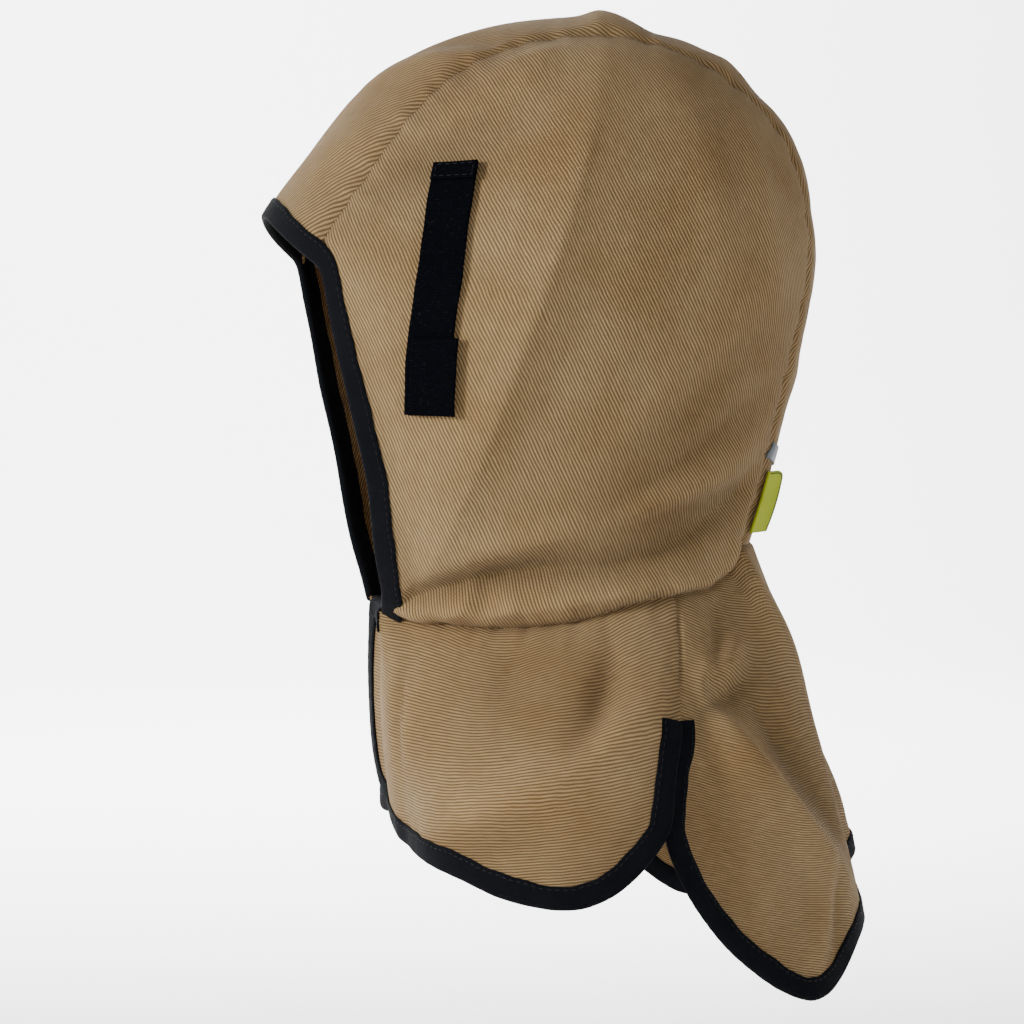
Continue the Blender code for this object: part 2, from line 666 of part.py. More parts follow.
def front_outline():
    """Angle and drop round a left front lobe, and where its free edge starts and ends."""
    throat_angle = math.degrees(math.atan2(neck_ring[-1, 0], NECK_MIDDLE - neck_ring[-1, 1]))
    top = np.column_stack((np.linspace(LAP_ANGLE, throat_angle, 5), np.zeros(5)))
    neck = np.column_stack((np.linspace(throat_angle, SEAM_ANGLE - SEAM_GAP_ANGLE, 9), np.zeros(9)))
    neck[:, 1] = NECK_GAP
    seam = np.column_stack((np.linspace(SEAM_ANGLE, SLIT_ANGLE, 5) - SEAM_GAP_ANGLE,
                            np.linspace(NECK_GAP, SLIT_DROP, 5)))
    rows = np.array(FRONT_EDGE) * (1.0, FRONT_DROP)
    free = trace(np.concatenate((seam[-1:], rows)) * EDGE_SCALE, 25) / EDGE_SCALE
    front = np.column_stack((np.full(6, LAP_ANGLE), np.linspace(rows[-1, 1], 0.0, 6)))
    outline = np.concatenate((top[:-1], neck[:-1], seam[:-1], free[:-1], front[:-1]))
    return outline, 4 + 8 + 4


front_places, slit_ray = front_outline()
front_middle = np.array((58.0, FRONT_DROP * 0.5))


def cape_fold(places, folds, share):
    scaled = places / (1.0, BACK_DROP)
    size = np.array((1.0, BACK_DROP / EDGE_SCALE[0]))
    height = fold_height(scaled, folds, size, 1.0)
    return CAPE_FOLD * height * smooth_step((1.0 - share) / 0.22)


def cape_rings(outline, middle, rings, lift, folds, seam_rays):
    """Inside points and directions of a lobe's rings, and of its middle."""
    shares, places = ring_places(outline, middle, rings, EDGE_SCALE, TAPE_WIDTH)
    inside = []
    directions = []
    for number, (share, ring) in enumerate(zip(shares, places)):
        points = cape_surface(ring, lift)
        out = cape_normals(ring, lift)
        if number == 0:
            out[seam_rays] = level_out(points[seam_rays])
        inside.append(points + out * cape_fold(ring, folds, share)[:, None])
        directions.append(out)
    centre = cape_surface(middle[None], lift)
    centre_out = cape_normals(middle[None], lift)
    centre = centre + centre_out * cape_fold(middle[None], folds, np.zeros(1))[:, None]
    return inside, directions, centre[0], centre_out[0]


for side, sign in (("left", 1.0), ("right", -1.0)):
    flip = np.array((sign, 1.0, 1.0))
    inside, directions, centre, centre_out = cape_rings(
        front_places, front_middle, LOBE_RINGS, front_lift(sign), FRONT_FOLDS, slice(4, 13))
    lobe = add_ringed_panel("cape_front_" + side, [p * flip for p in inside],
                            [d * flip for d in directions], centre * flip, centre_out * flip,
                            TWILL_COLOUR, 0.9)
    if side == "left":
        lap_lobe = lobe
    rays = list(range(slit_ray, len(front_places))) + list(range(0, 4))
    add_binding("front_binding_" + side, inside[0][rays] * flip, inside[1][rays] * flip,
                directions[0][rays] * flip, directions[1][rays] * flip)

# Back lobe of the cape

def back_outline():
    """Angle and drop round the back lobe, and the rays where its free edge starts and ends."""
    neck = np.column_stack((np.linspace(SEAM_ANGLE + SEAM_GAP_ANGLE, 360 - SEAM_ANGLE - SEAM_GAP_ANGLE, 15),
                            np.full(15, NECK_GAP)))
    seam = np.column_stack((np.linspace(SEAM_ANGLE, SLIT_ANGLE, 5) + SEAM_GAP_ANGLE,
                            np.linspace(NECK_GAP, SLIT_DROP, 5)))
    rows = np.array(BACK_EDGE) * (1.0, BACK_DROP)
    half = np.concatenate((seam[-1:], rows))
    whole = np.concatenate((half * (-1, 1) + (360, 0), half[::-1]))
    whole[:, 1] -= FLARE_RISE * far_side(whole[:, 0]) * (whole[:, 1] > BACK_DROP * 0.8)
    free = trace(whole * EDGE_SCALE, 47) / EDGE_SCALE
    right_seam = seam * (-1, 1) + (360, 0)
    outline = np.concatenate((neck[:-1], right_seam[:-1], free[:-1], seam[::-1][:-1]))
    return outline, 14 + 4, 14 + 4 + 46


def both_sides(places, folds, share):
    """The back lobe's folds on the left, and weaker ones mirrored on the right."""
    mirrored = places * (-1, 1) + (360, 0)
    return cape_fold(places, folds, share) + 0.5 * cape_fold(mirrored, folds, share)


back_places, back_first, back_last = back_outline()
back_middle = np.array((180.0, BACK_DROP * 0.56))
shares, ring_list = ring_places(back_places, back_middle, BACK_RINGS, EDGE_SCALE, TAPE_WIDTH)
back_inside = []
back_out = []
for number, (share, ring) in enumerate(zip(shares, ring_list)):
    points = cape_surface(ring, back_lift)
    out = cape_normals(ring, back_lift)
    if number == 0:
        out[:15] = level_out(points[:15])
    back_inside.append(points + out * both_sides(ring, BACK_FOLDS, share)[:, None])
    back_out.append(out)
centre = cape_surface(back_middle[None], back_lift)
centre_out = cape_normals(back_middle[None], back_lift)
centre = centre + centre_out * both_sides(back_middle[None], BACK_FOLDS, np.zeros(1))[:, None]
back_lobe = add_ringed_panel("cape_back", back_inside, back_out, centre[0], centre_out[0],
                             TWILL_COLOUR, 0.9)
rays = slice(back_first, back_last + 1)
add_binding("back_binding", back_inside[0][rays], back_inside[1][rays], back_out[0][rays],
            back_out[1][rays])


# Closure patch inside the left front lobe, behind the lap

patch_start = LAP_ANGLE + math.degrees(PATCH_FROM_EDGE / (CAPE_REACH * CAPE_FLARE[0][1]))
patch_turn = math.degrees(PATCH_WIDTH / (CAPE_REACH * CAPE_FLARE[0][1]))
patch_grid = np.array([[(patch_start + patch_turn * part, PATCH_DROP + PATCH_HEIGHT * down)
                        for part in np.linspace(0.0, 1.0, 9)] for down in np.linspace(0.0, 1.0, 5)])
patch_flat = patch_grid.reshape(-1, 2)
patch_shell = (cape_surface(patch_flat, front_lift(1.0)), cape_normals(patch_flat, front_lift(1.0)))
add_under("closure_patch", lap_lobe, patch_shell, 9, PATCH_THICKNESS, PATCH_CLEARANCE,
          STRAP_COLOUR, 0.95)


# Temple straps: the upper part lies on the side panel, the lower part is flat and doubled

def strap_place(down, across):
    """y and z on the side of the crown, down the strap and across it."""
    along = down * STRAP_LENGTH
    lean = STRAP_LEAN * math.sin(math.pi / 2 * down)
    return np.array((CENTRE_BEHIND_FACE - STRAP_FORWARD - lean + across * STRAP_WIDTH / 2,
                     -CROWN_RISE + STRAP_RISE - along))


def strap_rows(start, end, count, clearance):
    """Points and directions three across, on the cloth, from one share of the length to another."""
    places = np.array([[strap_place(down, across) for across in (-1.0, 0.0, 1.0)]
                       for down in np.linspace(start, end, count)]).reshape(-1, 2)
    points = crown_side(places)
    out = gradient(crown_level, points)
    height = side_fold(places, np.full(len(places), 0.5)) + CLOTH + clearance
    return (points + out * height[:, None]).reshape(count, 3, 3), out.reshape(count, 3, 3)


tab_share = 1.0 - STRAP_TAB_LENGTH / STRAP_LENGTH
upper, upper_out = strap_rows(0.0, tab_share, STRAP_STATIONS, STRAP_CLEARANCE)
lower, lower_out = strap_rows(tab_share + STRAP_TAB_START, 1.0, 5, STRAP_CLEARANCE)
tab_out = lower_out[2, 1]
tab_down = lower[-1, 1] - lower[0, 1]
tab_down -= tab_out * np.dot(tab_down, tab_out)
tab_down /= np.linalg.norm(tab_down)
tab_back = np.cross(tab_out, tab_down)
tab_plane = np.max((lower.reshape(-1, 3) - lower[2, 1]) @ tab_out)
tab_centre = lower[2, 1] + tab_out * tab_plane


def tab_points(reach, rise, shift):
    """Corners of the flat lower end, in two rows of three."""
    rows = []
    for down in (-0.5, 0.5):
        rows.append([tab_centre + tab_out * rise + tab_down * (down * reach)
                     + tab_back * (across * STRAP_WIDTH / 2 + shift)
                     for across in (-1.0, 0.0, 1.0)])
    return np.array(rows)


tab_reach = STRAP_TAB_LENGTH * STRAP_TAB_REACH
ends = tab_points(tab_reach, 0.0, 0.0)
if np.dot(ends[0, 2] - ends[0, 0], upper[-1, 2] - upper[-1, 0]) < 0:
    ends = ends[:, ::-1]
strap_inside = np.concatenate((upper, ends))
strap_out = np.concatenate((upper_out, np.broadcast_to(tab_out, ends.shape)))
tab_inside = tab_points(tab_reach, STRAP_THICKNESS + GAP, -STRAP_WIDTH * 0.1)
for side, flip in (("left", np.ones(3)), ("right", MIRROR)):
    add_grid_solid("strap_" + side, strap_inside * flip, strap_out * flip, STRAP_THICKNESS,
                   STRAP_COLOUR, 0.95)
    add_grid_solid("strap_tab_" + side, tab_inside * flip,
                   np.broadcast_to(tab_out, tab_inside.shape) * flip, STRAP_THICKNESS,
                   STRAP_COLOUR, 0.95)

# Band across the nape, on the centre strip between its two seams

nape_angles = np.linspace(-10.0, -50.0, 200)
nape_heights = crown_over(nape_angles, np.zeros(200))[:, 2]


def nape_angle_at(drop):
    """Angle on the crown's middle line at a depth below the top of the head."""
    return float(np.interp(drop, -nape_heights, nape_angles))


band_rows = []
band_drop = CROWN_RISE + BAND_BELOW_CENTRE
for drop in (band_drop - BAND_HEIGHT / 2, band_drop + BAND_HEIGHT / 2):
    angle = nape_angle_at(drop)
    across = np.linspace(-1.0, 1.0, 13) * (strip_half_width(angle) - BAND_SIDE_GAP)
    band_rows.append(crown_over(np.full(13, angle), across))
band_rows = np.array(band_rows)
band_out = gradient(crown_level, band_rows.reshape(-1, 3)).reshape(band_rows.shape)
add_grid_solid("nape_band", band_rows + band_out * (CLOTH + GAP), band_out, BAND_THICKNESS,
               BAND_COLOUR, 0.6)

# Tag sewn in at the left seam of the nape, its free end rounded and standing off the cloth

tag_top = CROWN_RISE + TAG_BELOW_CENTRE
tag_drops = tag_top + TAG_HEIGHT * np.array((0.0, 0.04, 0.14, 0.5, 0.86, 0.96, 1.0))
tag_reach = np.array((0.72, 0.90, 1.0, 1.0, 1.0, 0.90, 0.72))
tag_angles = np.array([nape_angle_at(drop) for drop in tag_drops])
tag_root = crown_over(tag_angles, strip_half_width(tag_angles) - TAG_THICKNESS)
tag_root_out = gradient(crown_level, tag_root)
tag_root = tag_root + tag_root_out * (CLOTH + GAP * 2)
turn = math.radians(TAG_TURN)
tag_run = np.array((-math.cos(turn), math.sin(turn), 0.0))
tag_out = np.cross(tag_run, tag_root[-1] - tag_root[0])
tag_out *= -math.copysign(1.0, -tag_out[0]) / np.linalg.norm(tag_out)
tag_inside = np.array([[root + tag_run * (TAG_WIDTH * reach * part) for part in (0.0, 0.5, 1.0)]
                       for root, reach in zip(tag_root, tag_reach)])
add_grid_solid("side_tag", tag_inside, np.broadcast_to(tag_out, tag_inside.shape), TAG_THICKNESS,
               TAG_COLOUR, 0.5)

# Care label on the inside of the back lobe, near its flared hem

label_turn = math.degrees(LABEL_WIDTH / CAPE_REACH)
label_grid = np.array([(LABEL_ANGLE + label_turn * across, LABEL_DROP + LABEL_HEIGHT * down)
                       for down in np.linspace(0.0, 1.0, 5) for across in np.linspace(-0.5, 0.5, 5)])
label_shell = (cape_surface(label_grid, back_lift), cape_normals(label_grid, back_lift))
add_under("care_label", back_lobe, label_shell, 5, LABEL_THICKNESS, LABEL_CLEARANCE,
          LABEL_COLOUR, 0.6)
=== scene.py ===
"""The dressed welding hood: twill panels, bound edges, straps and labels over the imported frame."""

import math

import bpy
import numpy as np
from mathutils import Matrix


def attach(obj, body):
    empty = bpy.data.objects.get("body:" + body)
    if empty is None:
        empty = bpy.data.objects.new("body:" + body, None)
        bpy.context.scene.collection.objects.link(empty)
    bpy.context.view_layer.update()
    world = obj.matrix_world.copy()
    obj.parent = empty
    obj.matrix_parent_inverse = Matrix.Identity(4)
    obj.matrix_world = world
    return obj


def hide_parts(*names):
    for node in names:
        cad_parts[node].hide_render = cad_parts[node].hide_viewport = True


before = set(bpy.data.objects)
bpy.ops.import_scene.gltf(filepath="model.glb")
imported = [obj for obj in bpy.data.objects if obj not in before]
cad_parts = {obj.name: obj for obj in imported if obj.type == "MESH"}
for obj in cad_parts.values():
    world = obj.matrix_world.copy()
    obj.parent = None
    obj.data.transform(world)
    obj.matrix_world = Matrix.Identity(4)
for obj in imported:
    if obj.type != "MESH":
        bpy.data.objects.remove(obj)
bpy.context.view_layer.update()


# The left and right side panels are cut from cotton twill with a plain diagonal rib. Each is sewn to
# the centre strip over the top and to the cape round the neck, and is pulled into long soft folds
# that run from the top seam to the throat.

CLOTH = 0.0015
CROWN_HALF_WIDTH = 0.0865
CROWN_RISE = 0.1278
CROWN_DROP = 0.1715
CROWN_FRONT = 0.121
CROWN_BACK = 0.1045
CROWN_SQUARENESS = 2.1
CENTRE_BEHIND_FACE = -0.013
NECK_MIDDLE = -0.010
STRIP_HALF_WIDTH = 0.033
BROW_ARCH = 0.098
BROW_ANGLE = 160.3
BROW_FALL = 6.4
NAPE_ANGLE = -48.9
NAPE_RISE = -4.1

# The crown's side outline: angle from straight back, rising over the top, and share of an ellipse.
CROWN_OUTLINE = (
    (0, 1.002), (20, 1.087), (40, 1.124), (60, 1.075), (75, 1.033), (90, 1.000), (105, 1.001),
    (120, 1.017), (135, 1.026), (148, 1.039), (156.5, 1.073), (160.5, 1.092), (165, 1.081),
    (172, 1.035), (180, 1.000), (200, 1.038), (223, 1.060), (240, 0.989), (250, 0.971),
    (270, 1.000), (290, 0.980), (311, 0.945), (329, 0.934), (345, 0.956),
)
# The centre strip's half-width by the same angle.
STRIP_OUTLINE = (
    (-60, 1.10), (-53, 1.12), (-30, 1.14), (0, 1.15), (20, 1.08), (35, 1.00), (70, 0.95),
    (100, 1.02), (112, 1.15), (124, 1.31), (136, 1.42), (150, 1.46), (164.5, 1.48), (170, 1.48),
)
# Forward and drop shares down the face edge and round the neck seam.
FACE_EDGE = (
    (0.868, -0.060), (0.835, 0.023), (0.795, 0.167), (0.735, 0.360), (0.694, 0.559),
    (0.661, 0.658),
)
THROAT_CORNER = (0.653, 0.700)
NECK_SEAM = (
    (0.615, 0.713), (0.438, 0.726), (0.256, 0.729), (0.016, 0.706), (-0.198, 0.665),
    (-0.339, 0.653), (-0.480, 0.640), (-0.560, 0.600),
)
# Folds: start, bend and end as forward and drop shares, width on the right and on the left of the
# line as it runs on, height, and how sharply it is creased.
SIDE_FOLDS = (
    (-0.12, -0.72, 0.18, -0.02, 0.53, 0.58, 0.015, 0.036, 0.0082, 0.95),
    (0.02, -0.72, 0.20, -0.52, 0.56, -0.46, 0.008, 0.018, 0.0042, 0.6),
    (0.20, -0.58, 0.40, -0.42, 0.76, -0.34, 0.012, 0.008, -0.0046, 0.3),
    (0.28, -0.66, 0.44, -0.56, 0.58, -0.44, 0.008, 0.007, -0.0016, 0.1),
    (0.64, 0.69, 0.42, 0.59, -0.12, 0.58, 0.010, 0.004, -0.0074, 0.8),
    (-0.05, 0.58, -0.40, 0.54, -0.66, 0.36, 0.010, 0.006, -0.0062, 0.6),
    (0.56, 0.60, 0.24, 0.50, -0.20, 0.50, 0.010, 0.007, 0.0044, 0.4),
    (0.52, 0.68, 0.20, 0.68, -0.34, 0.60, 0.006, 0.004, 0.0034, 0.1),
    (0.40, 0.58, -0.14, 0.48, -0.56, 0.40, 0.006, 0.009, -0.0042, 0.4),
    (0.10, 0.52, -0.26, 0.42, -0.60, 0.28, 0.008, 0.009, 0.0034, 0.4),
    (0.06, 0.50, -0.32, 0.34, -0.66, 0.14, 0.006, 0.010, -0.0036, 0.4),
    (0.04, 0.44, -0.30, 0.22, -0.70, -0.04, 0.009, 0.010, -0.0022, 0.2),
    (-0.02, 0.34, -0.30, 0.10, -0.70, -0.16, 0.010, 0.010, 0.0014, 0.2),
    (0.46, 0.46, 0.22, 0.20, -0.02, -0.20, 0.010, 0.014, -0.0016, 0.1),
    (-0.30, -0.60, -0.42, -0.36, -0.50, -0.02, 0.010, 0.014, 0.0018, 0.2),
    (-0.54, -0.54, -0.62, -0.36, -0.66, -0.04, 0.006, 0.007, 0.0016, 0.2),
    (0.44, 0.70, 0.41, 0.66, 0.38, 0.60, 0.004, 0.004, 0.0020, 0.2),
    (0.34, 0.71, 0.33, 0.66, 0.34, 0.61, 0.004, 0.004, -0.0018, 0.3),
    (0.24, 0.70, 0.24, 0.66, 0.26, 0.62, 0.004, 0.004, 0.0014, 0.3),
    (0.62, 0.38, 0.59, 0.52, 0.60, 0.66, 0.006, 0.007, -0.0016, 0.2),
)
SIDE_RAYS = 350
SIDE_RINGS = 78
EDGE_CROWDING = 1.4
FOLD_FADE = 0.010
TAPE_WIDTH = 0.0085
SEAM_ROLL = 0.0016
SEAM_ROLL_WIDTH = 0.0020
SEAM_PUCKER = 0.0004
PUCKER_WAVES = ((0.0135, 1.0, 0.3), (0.021, 0.8, 1.7), (0.0081, 0.5, 2.9))
PUCKER_REACH = 0.0075
NECK_RADIUS = 0.08
TOP_RADIUS = 0.12
SWAG = 0.0020
SWAG_FROM_SEAM = 0.006
SWAG_WIDTH = 0.0045
SWAG_WAVES = ((0.033, 1.0, 0.4), (0.019, 0.6, 2.0))
PLAIN_EDGE = 0.0005
SIDE_MIDDLE_DROP = 0.13
TOP_RAY_SHARE = 0.56
NECK_RAY_SHARE = 0.22
TWILL_PITCH = 0.00135
TWILL_RIB = (0.455, 0.315, 0.158, 1.0)
TWILL_GROOVE = (0.130, 0.083, 0.035, 1.0)
TWILL_WARM = (0.88, 0.80, 0.70, 1.0)
TWILL_WASHED = (1.12, 1.12, 1.14, 1.0)


def smooth_step(value):
    value = np.clip(value, 0.0, 1.0)
    return value * value * (3.0 - 2.0 * value)


def read_curve(knots, values, at):
    """A smooth curve through rows of values."""
    knots = np.asarray(knots, float)
    values = np.asarray(values, float)
    slopes = np.gradient(values, knots)
    at = np.clip(np.asarray(at, float), knots[0], knots[-1])
    row = np.clip(np.searchsorted(knots, at) - 1, 0, len(knots) - 2)
    span = knots[row + 1] - knots[row]
    t = (at - knots[row]) / span
    start = values[row] * (1 + 2 * t) * (1 - t) ** 2 + slopes[row] * span * t * (1 - t) ** 2
    end = values[row + 1] * t * t * (3 - 2 * t) - slopes[row + 1] * span * t * t * (1 - t)
    return start + end


def along_path(points):
    """Distance along a row of points."""
    steps = np.linalg.norm(np.diff(points, axis=0), axis=1)
    return np.concatenate(([0.0], np.cumsum(steps)))


def even_points(points, count):
    """The same open path in even steps."""
    length = along_path(points)
    even = np.linspace(0.0, length[-1], count)
    return np.stack([np.interp(even, length, points[:, k]) for k in range(points.shape[1])], 1)


def trace(points, count):
    """Evenly spaced points along a smooth curve through the points given."""
    points = np.asarray(points, float)
    knots = along_path(points)
    at = np.linspace(0.0, knots[-1], 1600)
    fine = np.stack([read_curve(knots, points[:, k], at) for k in range(points.shape[1])], 1)
    return even_points(fine, count)


def fold_height(places, folds, size):
    """Height of bent folds, each with its own width on either side of its line."""
    total = np.zeros(len(places))
    along = np.linspace(0.0, 1.0, 49)[:, None]
    here = places * size
    rows = np.arange(len(here))
    for fold in folds:
        start, bend, end = np.array(fold[0:2]), np.array(fold[2:4]), np.array(fold[4:6])
        line = (start * (1 - along) ** 2 + 2 * bend * along * (1 - along) + end * along ** 2) * size
        run = np.gradient(line, axis=0)
        step = np.linalg.norm(run, axis=1)
        run = run / step[:, None]
        gap = here[:, None] - line[None]
        nearest = np.linalg.norm(gap, axis=2).argmin(axis=1)
        offset = gap[rows, nearest]
        ahead = (offset * run[nearest]).sum(axis=1)
        aside = run[nearest, 0] * offset[:, 1] - run[nearest, 1] * offset[:, 0]
        past = np.maximum(np.abs(ahead) - step[nearest] / 2, 0.0)
        far = np.hypot(aside, past)
        turn = aside / np.maximum(far, 1e-9)
        width = (fold[6] + fold[7]) / 2 + (fold[6] - fold[7]) / 2 * turn
        reach = far / width
        soft = 0.06 + 0.6 * (1.0 - fold[9])
        tent = np.exp(-1.4 * (np.sqrt(reach ** 2 + soft ** 2) - soft))
        shape = fold[9] * tent + (1.0 - fold[9]) * np.exp(-reach ** 2)
        part = along[nearest, 0] + np.clip(ahead / step[nearest], -0.5, 0.5) / 48
        fade = np.sin(math.pi * np.clip(0.06 + 0.88 * part, 0.0, 1.0)) ** 0.8
        total += fold[8] * fade * shape
    return total


def ripple(along, waves):
    """A sum of waves of the lengths, heights and starts given."""
    total = np.zeros_like(along)
    for length, height, start in waves:
        total += height * np.sin(2 * math.pi * along / length + start)
    return total


def crown_reach(angle):
    angle = np.mod(np.asarray(angle, float) + 90.0, 360.0) - 90.0
    turn = np.radians(angle)
    length = np.where(np.cos(turn) > 0, CROWN_BACK, CROWN_FRONT)
    height = np.where(np.sin(turn) > 0, CROWN_RISE, CROWN_DROP)
    ellipse = 1.0 / np.sqrt((np.cos(turn) / length) ** 2 + (np.sin(turn) / height) ** 2)
    rows = np.array(CROWN_OUTLINE)
    rows = np.concatenate((rows - (360, 0), rows, rows + (360, 0)))
    return ellipse * read_curve(rows[:, 0], rows[:, 1], angle)


def crown_angle(places):
    return np.degrees(np.arctan2(places[:, 1] + CROWN_RISE, places[:, 0] - CENTRE_BEHIND_FACE))


def crown_level(points):
    """0 on the crown's inside surface, more outside it."""
    distance = np.hypot(points[:, 1] - CENTRE_BEHIND_FACE, points[:, 2] + CROWN_RISE)
    side = np.abs(points[:, 0]) / CROWN_HALF_WIDTH
    along = distance / crown_reach(crown_angle(points[:, 1:]))
    return side ** CROWN_SQUARENESS + along ** CROWN_SQUARENESS - 1.0


def crown_slope(points):
    slopes = []
    for axis in range(3):
        step = np.zeros(3)
        step[axis] = 1e-5
        slopes.append((crown_level(points + step) - crown_level(points - step)) / 2e-5)
    return np.stack(slopes, 1)


def unit(rows):
    return rows / np.linalg.norm(rows, axis=-1, keepdims=True)


def crown_normals(points):
    return unit(crown_slope(points))


def onto_crown(points):
    """Points moved the short way onto the crown's inside surface."""
    for _ in range(2):
        slopes = crown_slope(points)
        points = points - slopes * (crown_level(points) / (slopes ** 2).sum(axis=1))[:, None]
    return points


def crown_side(places):
    """Inside points of the left side wall over places given as y and z."""
    distance = np.hypot(places[:, 0] - CENTRE_BEHIND_FACE, places[:, 1] + CROWN_RISE)
    along = np.clip(distance / crown_reach(crown_angle(places)), 0.0, 0.999)
    across = CROWN_HALF_WIDTH * (1.0 - along ** CROWN_SQUARENESS) ** (1.0 / CROWN_SQUARENESS)
    return np.column_stack((across, places))


def crown_over(angle, across):
    """Inside points over the top, from the angle and the distance from the middle."""
    share = (np.abs(across) / CROWN_HALF_WIDTH) ** CROWN_SQUARENESS
    distance = crown_reach(angle) * (1.0 - share) ** (1.0 / CROWN_SQUARENESS)
    turn = np.radians(angle)
    return np.column_stack((across, CENTRE_BEHIND_FACE + distance * np.cos(turn),
                            -CROWN_RISE + distance * np.sin(turn)))


def strip_half_width(angle):
    rows = np.array(STRIP_OUTLINE)
    brow = BROW_ARCH / 2 - STRIP_HALF_WIDTH * STRIP_OUTLINE[-2][1]
    share = smooth_step((np.asarray(angle) - 120.0) / 45.0)
    return STRIP_HALF_WIDTH * read_curve(rows[:, 0], rows[:, 1], angle) + brow * share


def from_shares(rows):
    rows = np.asarray(rows, float)
    return np.column_stack((CENTRE_BEHIND_FACE - rows[:, 0] * CROWN_FRONT,
                            -CROWN_RISE - rows[:, 1] * CROWN_DROP))


def facing_out(vertices, faces):
    """The faces, turned over together where they point in."""
    vertices = np.asarray(vertices)
    corners = np.array([face[:3] for face in faces])
    a, b, c = vertices[corners[:, 0]], vertices[corners[:, 1]], vertices[corners[:, 2]]
    volume = (a * np.cross(b, c)).sum()
    return faces if volume > 0 else [tuple(reversed(face)) for face in faces]


def add_piece(name, vertices, faces, uvs, material, rise=None):
    """A piece of the hood, with a place in metres of cloth for each vertex."""
    mesh = bpy.data.meshes.new(name)
    mesh.from_pydata(np.asarray(vertices, float).tolist(), [], facing_out(vertices, faces))
    layer = mesh.uv_layers.new(name="cloth")
    corners = np.empty(len(mesh.loops), int)
    mesh.loops.foreach_get("vertex_index", corners)
    layer.data.foreach_set("uv", np.asarray(uvs, float)[corners].ravel())
    if rise is not None:
        mesh.attributes.new("rise", "FLOAT", "POINT").data.foreach_set("value", rise)
    mesh.materials.append(material)
    mesh.shade_smooth()
    piece = bpy.data.objects.new(name, mesh)
    bpy.context.collection.objects.link(piece)
    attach(piece, "root")
    return piece


def edge_shares(rings):
    """Shares of the way out from a panel's middle, closer together near its edge."""
    return np.append(1.0 - (np.arange(rings) / rings) ** EDGE_CROWDING, 0.0)


def add_panel(name, plain, out, height, turns, material, flip):
    """A closed cloth panel from rings of inside points that end in a middle point."""
    rings, rays = plain.shape[0] - 1, plain.shape[1]
    skin = rings * rays + 1
    inside = plain + out * height[:, :, None]

    def packed(rows):
        return np.concatenate((rows[:-1].reshape((-1,) + rows.shape[2:]), rows[-1, :1]))

    vertices = np.concatenate((packed(inside), packed(inside + out * CLOTH))) * flip
    ring, ray = np.meshgrid(np.arange(rings - 1), np.arange(rays), indexing="ij")
    a, b = ring * rays + ray, ring * rays + (ray + 1) % rays
    quads = np.stack((a, b, b + rays, a + rays), -1).reshape(-1, 4)
    faces = [tuple(q) for q in quads.tolist()]
    faces += [tuple(q) for q in (quads[:, ::-1] + skin).tolist()]
    last = (rings - 1) * rays
    for k in range(rays):
        n = (k + 1) % rays
        faces.append((last + k, last + n, skin - 1))
        faces.append((2 * skin - 1, last + n + skin, last + k + skin))
        faces.append((k + skin, n + skin, n, k))
    steps = np.linalg.norm(np.diff(plain, axis=0), axis=2)
    reach = np.concatenate((np.cumsum(steps[::-1], axis=0)[::-1], np.zeros((1, rays))))
    uvs = packed(np.stack((reach * np.cos(turns) * flip[0], reach * np.sin(turns)), -1))
    rise = np.tile(packed(height), 2)
    return add_piece(name, vertices, faces, np.tile(uvs, (2, 1)), material, rise)


def wire(tree, kind, inputs=(), **settings):
    """A shader node with its settings, its inputs linked or set."""
    node = tree.nodes.new(kind)
    for key, value in settings.items():
        setattr(node, key, value)
    for key, value in dict(inputs).items():
        if isinstance(value, bpy.types.NodeSocket):
            tree.links.new(value, node.inputs[key])
        else:
            node.inputs[key].default_value = value
    return node


def calc(tree, operation, *values):
    return wire(tree, "ShaderNodeMath", dict(enumerate(values)), operation=operation).outputs[0]


def wave(tree, along, length):
    turns = calc(tree, "MULTIPLY", along, 2 * math.pi / length)
    return calc(tree, "MULTIPLY_ADD", calc(tree, "SINE", turns), 0.5, 0.5)


def blend(tree, factor, first, second, blend_type="MIX"):
    node = tree.nodes.new("ShaderNodeMix")
    node.data_type = "RGBA"
    node.blend_type = blend_type
    for socket, value in zip((node.inputs[0], node.inputs[6], node.inputs[7]),
                             (factor, first, second)):
        if isinstance(value, bpy.types.NodeSocket):
            tree.links.new(value, socket)
        else:
            socket.default_value = value
    return node.outputs[2]


def grey(tree, value):
    return wire(tree, "ShaderNodeCombineColor", {0: value, 1: value, 2: value}).outputs[0]


def noise(tree, vector, scale, detail=2.0):
    return wire(tree, "ShaderNodeTexNoise",
                {"Vector": vector, "Scale": scale, "Detail": detail}).outputs["Fac"]


def start_material(name, roughness, sheen, specular):
    """A material, its node tree and shader, its place on the cloth and its place on the hood."""
    material = bpy.data.materials.new(name)
    material.use_nodes = True
    tree = material.node_tree
    shader = tree.nodes["Principled BSDF"]
    shader.inputs["Roughness"].default_value = roughness
    shader.inputs["Sheen Weight"].default_value = sheen
    shader.inputs["Sheen Roughness"].default_value = 0.55
    shader.inputs["Specular IOR Level"].default_value = specular
    cloth = wire(tree, "ShaderNodeUVMap", uv_map="cloth").outputs[0]
    solid = wire(tree, "ShaderNodeTexCoord").outputs["Object"]
    return material, tree, shader, cloth, solid


def finish_material(tree, shader, colour, height, depth, strength=0.8):
    tree.links.new(colour, shader.inputs["Base Color"])
    bump = wire(tree, "ShaderNodeBump", {"Height": height, "Distance": depth,
                                         "Strength": strength})
    tree.links.new(bump.outputs[0], shader.inputs["Normal"])


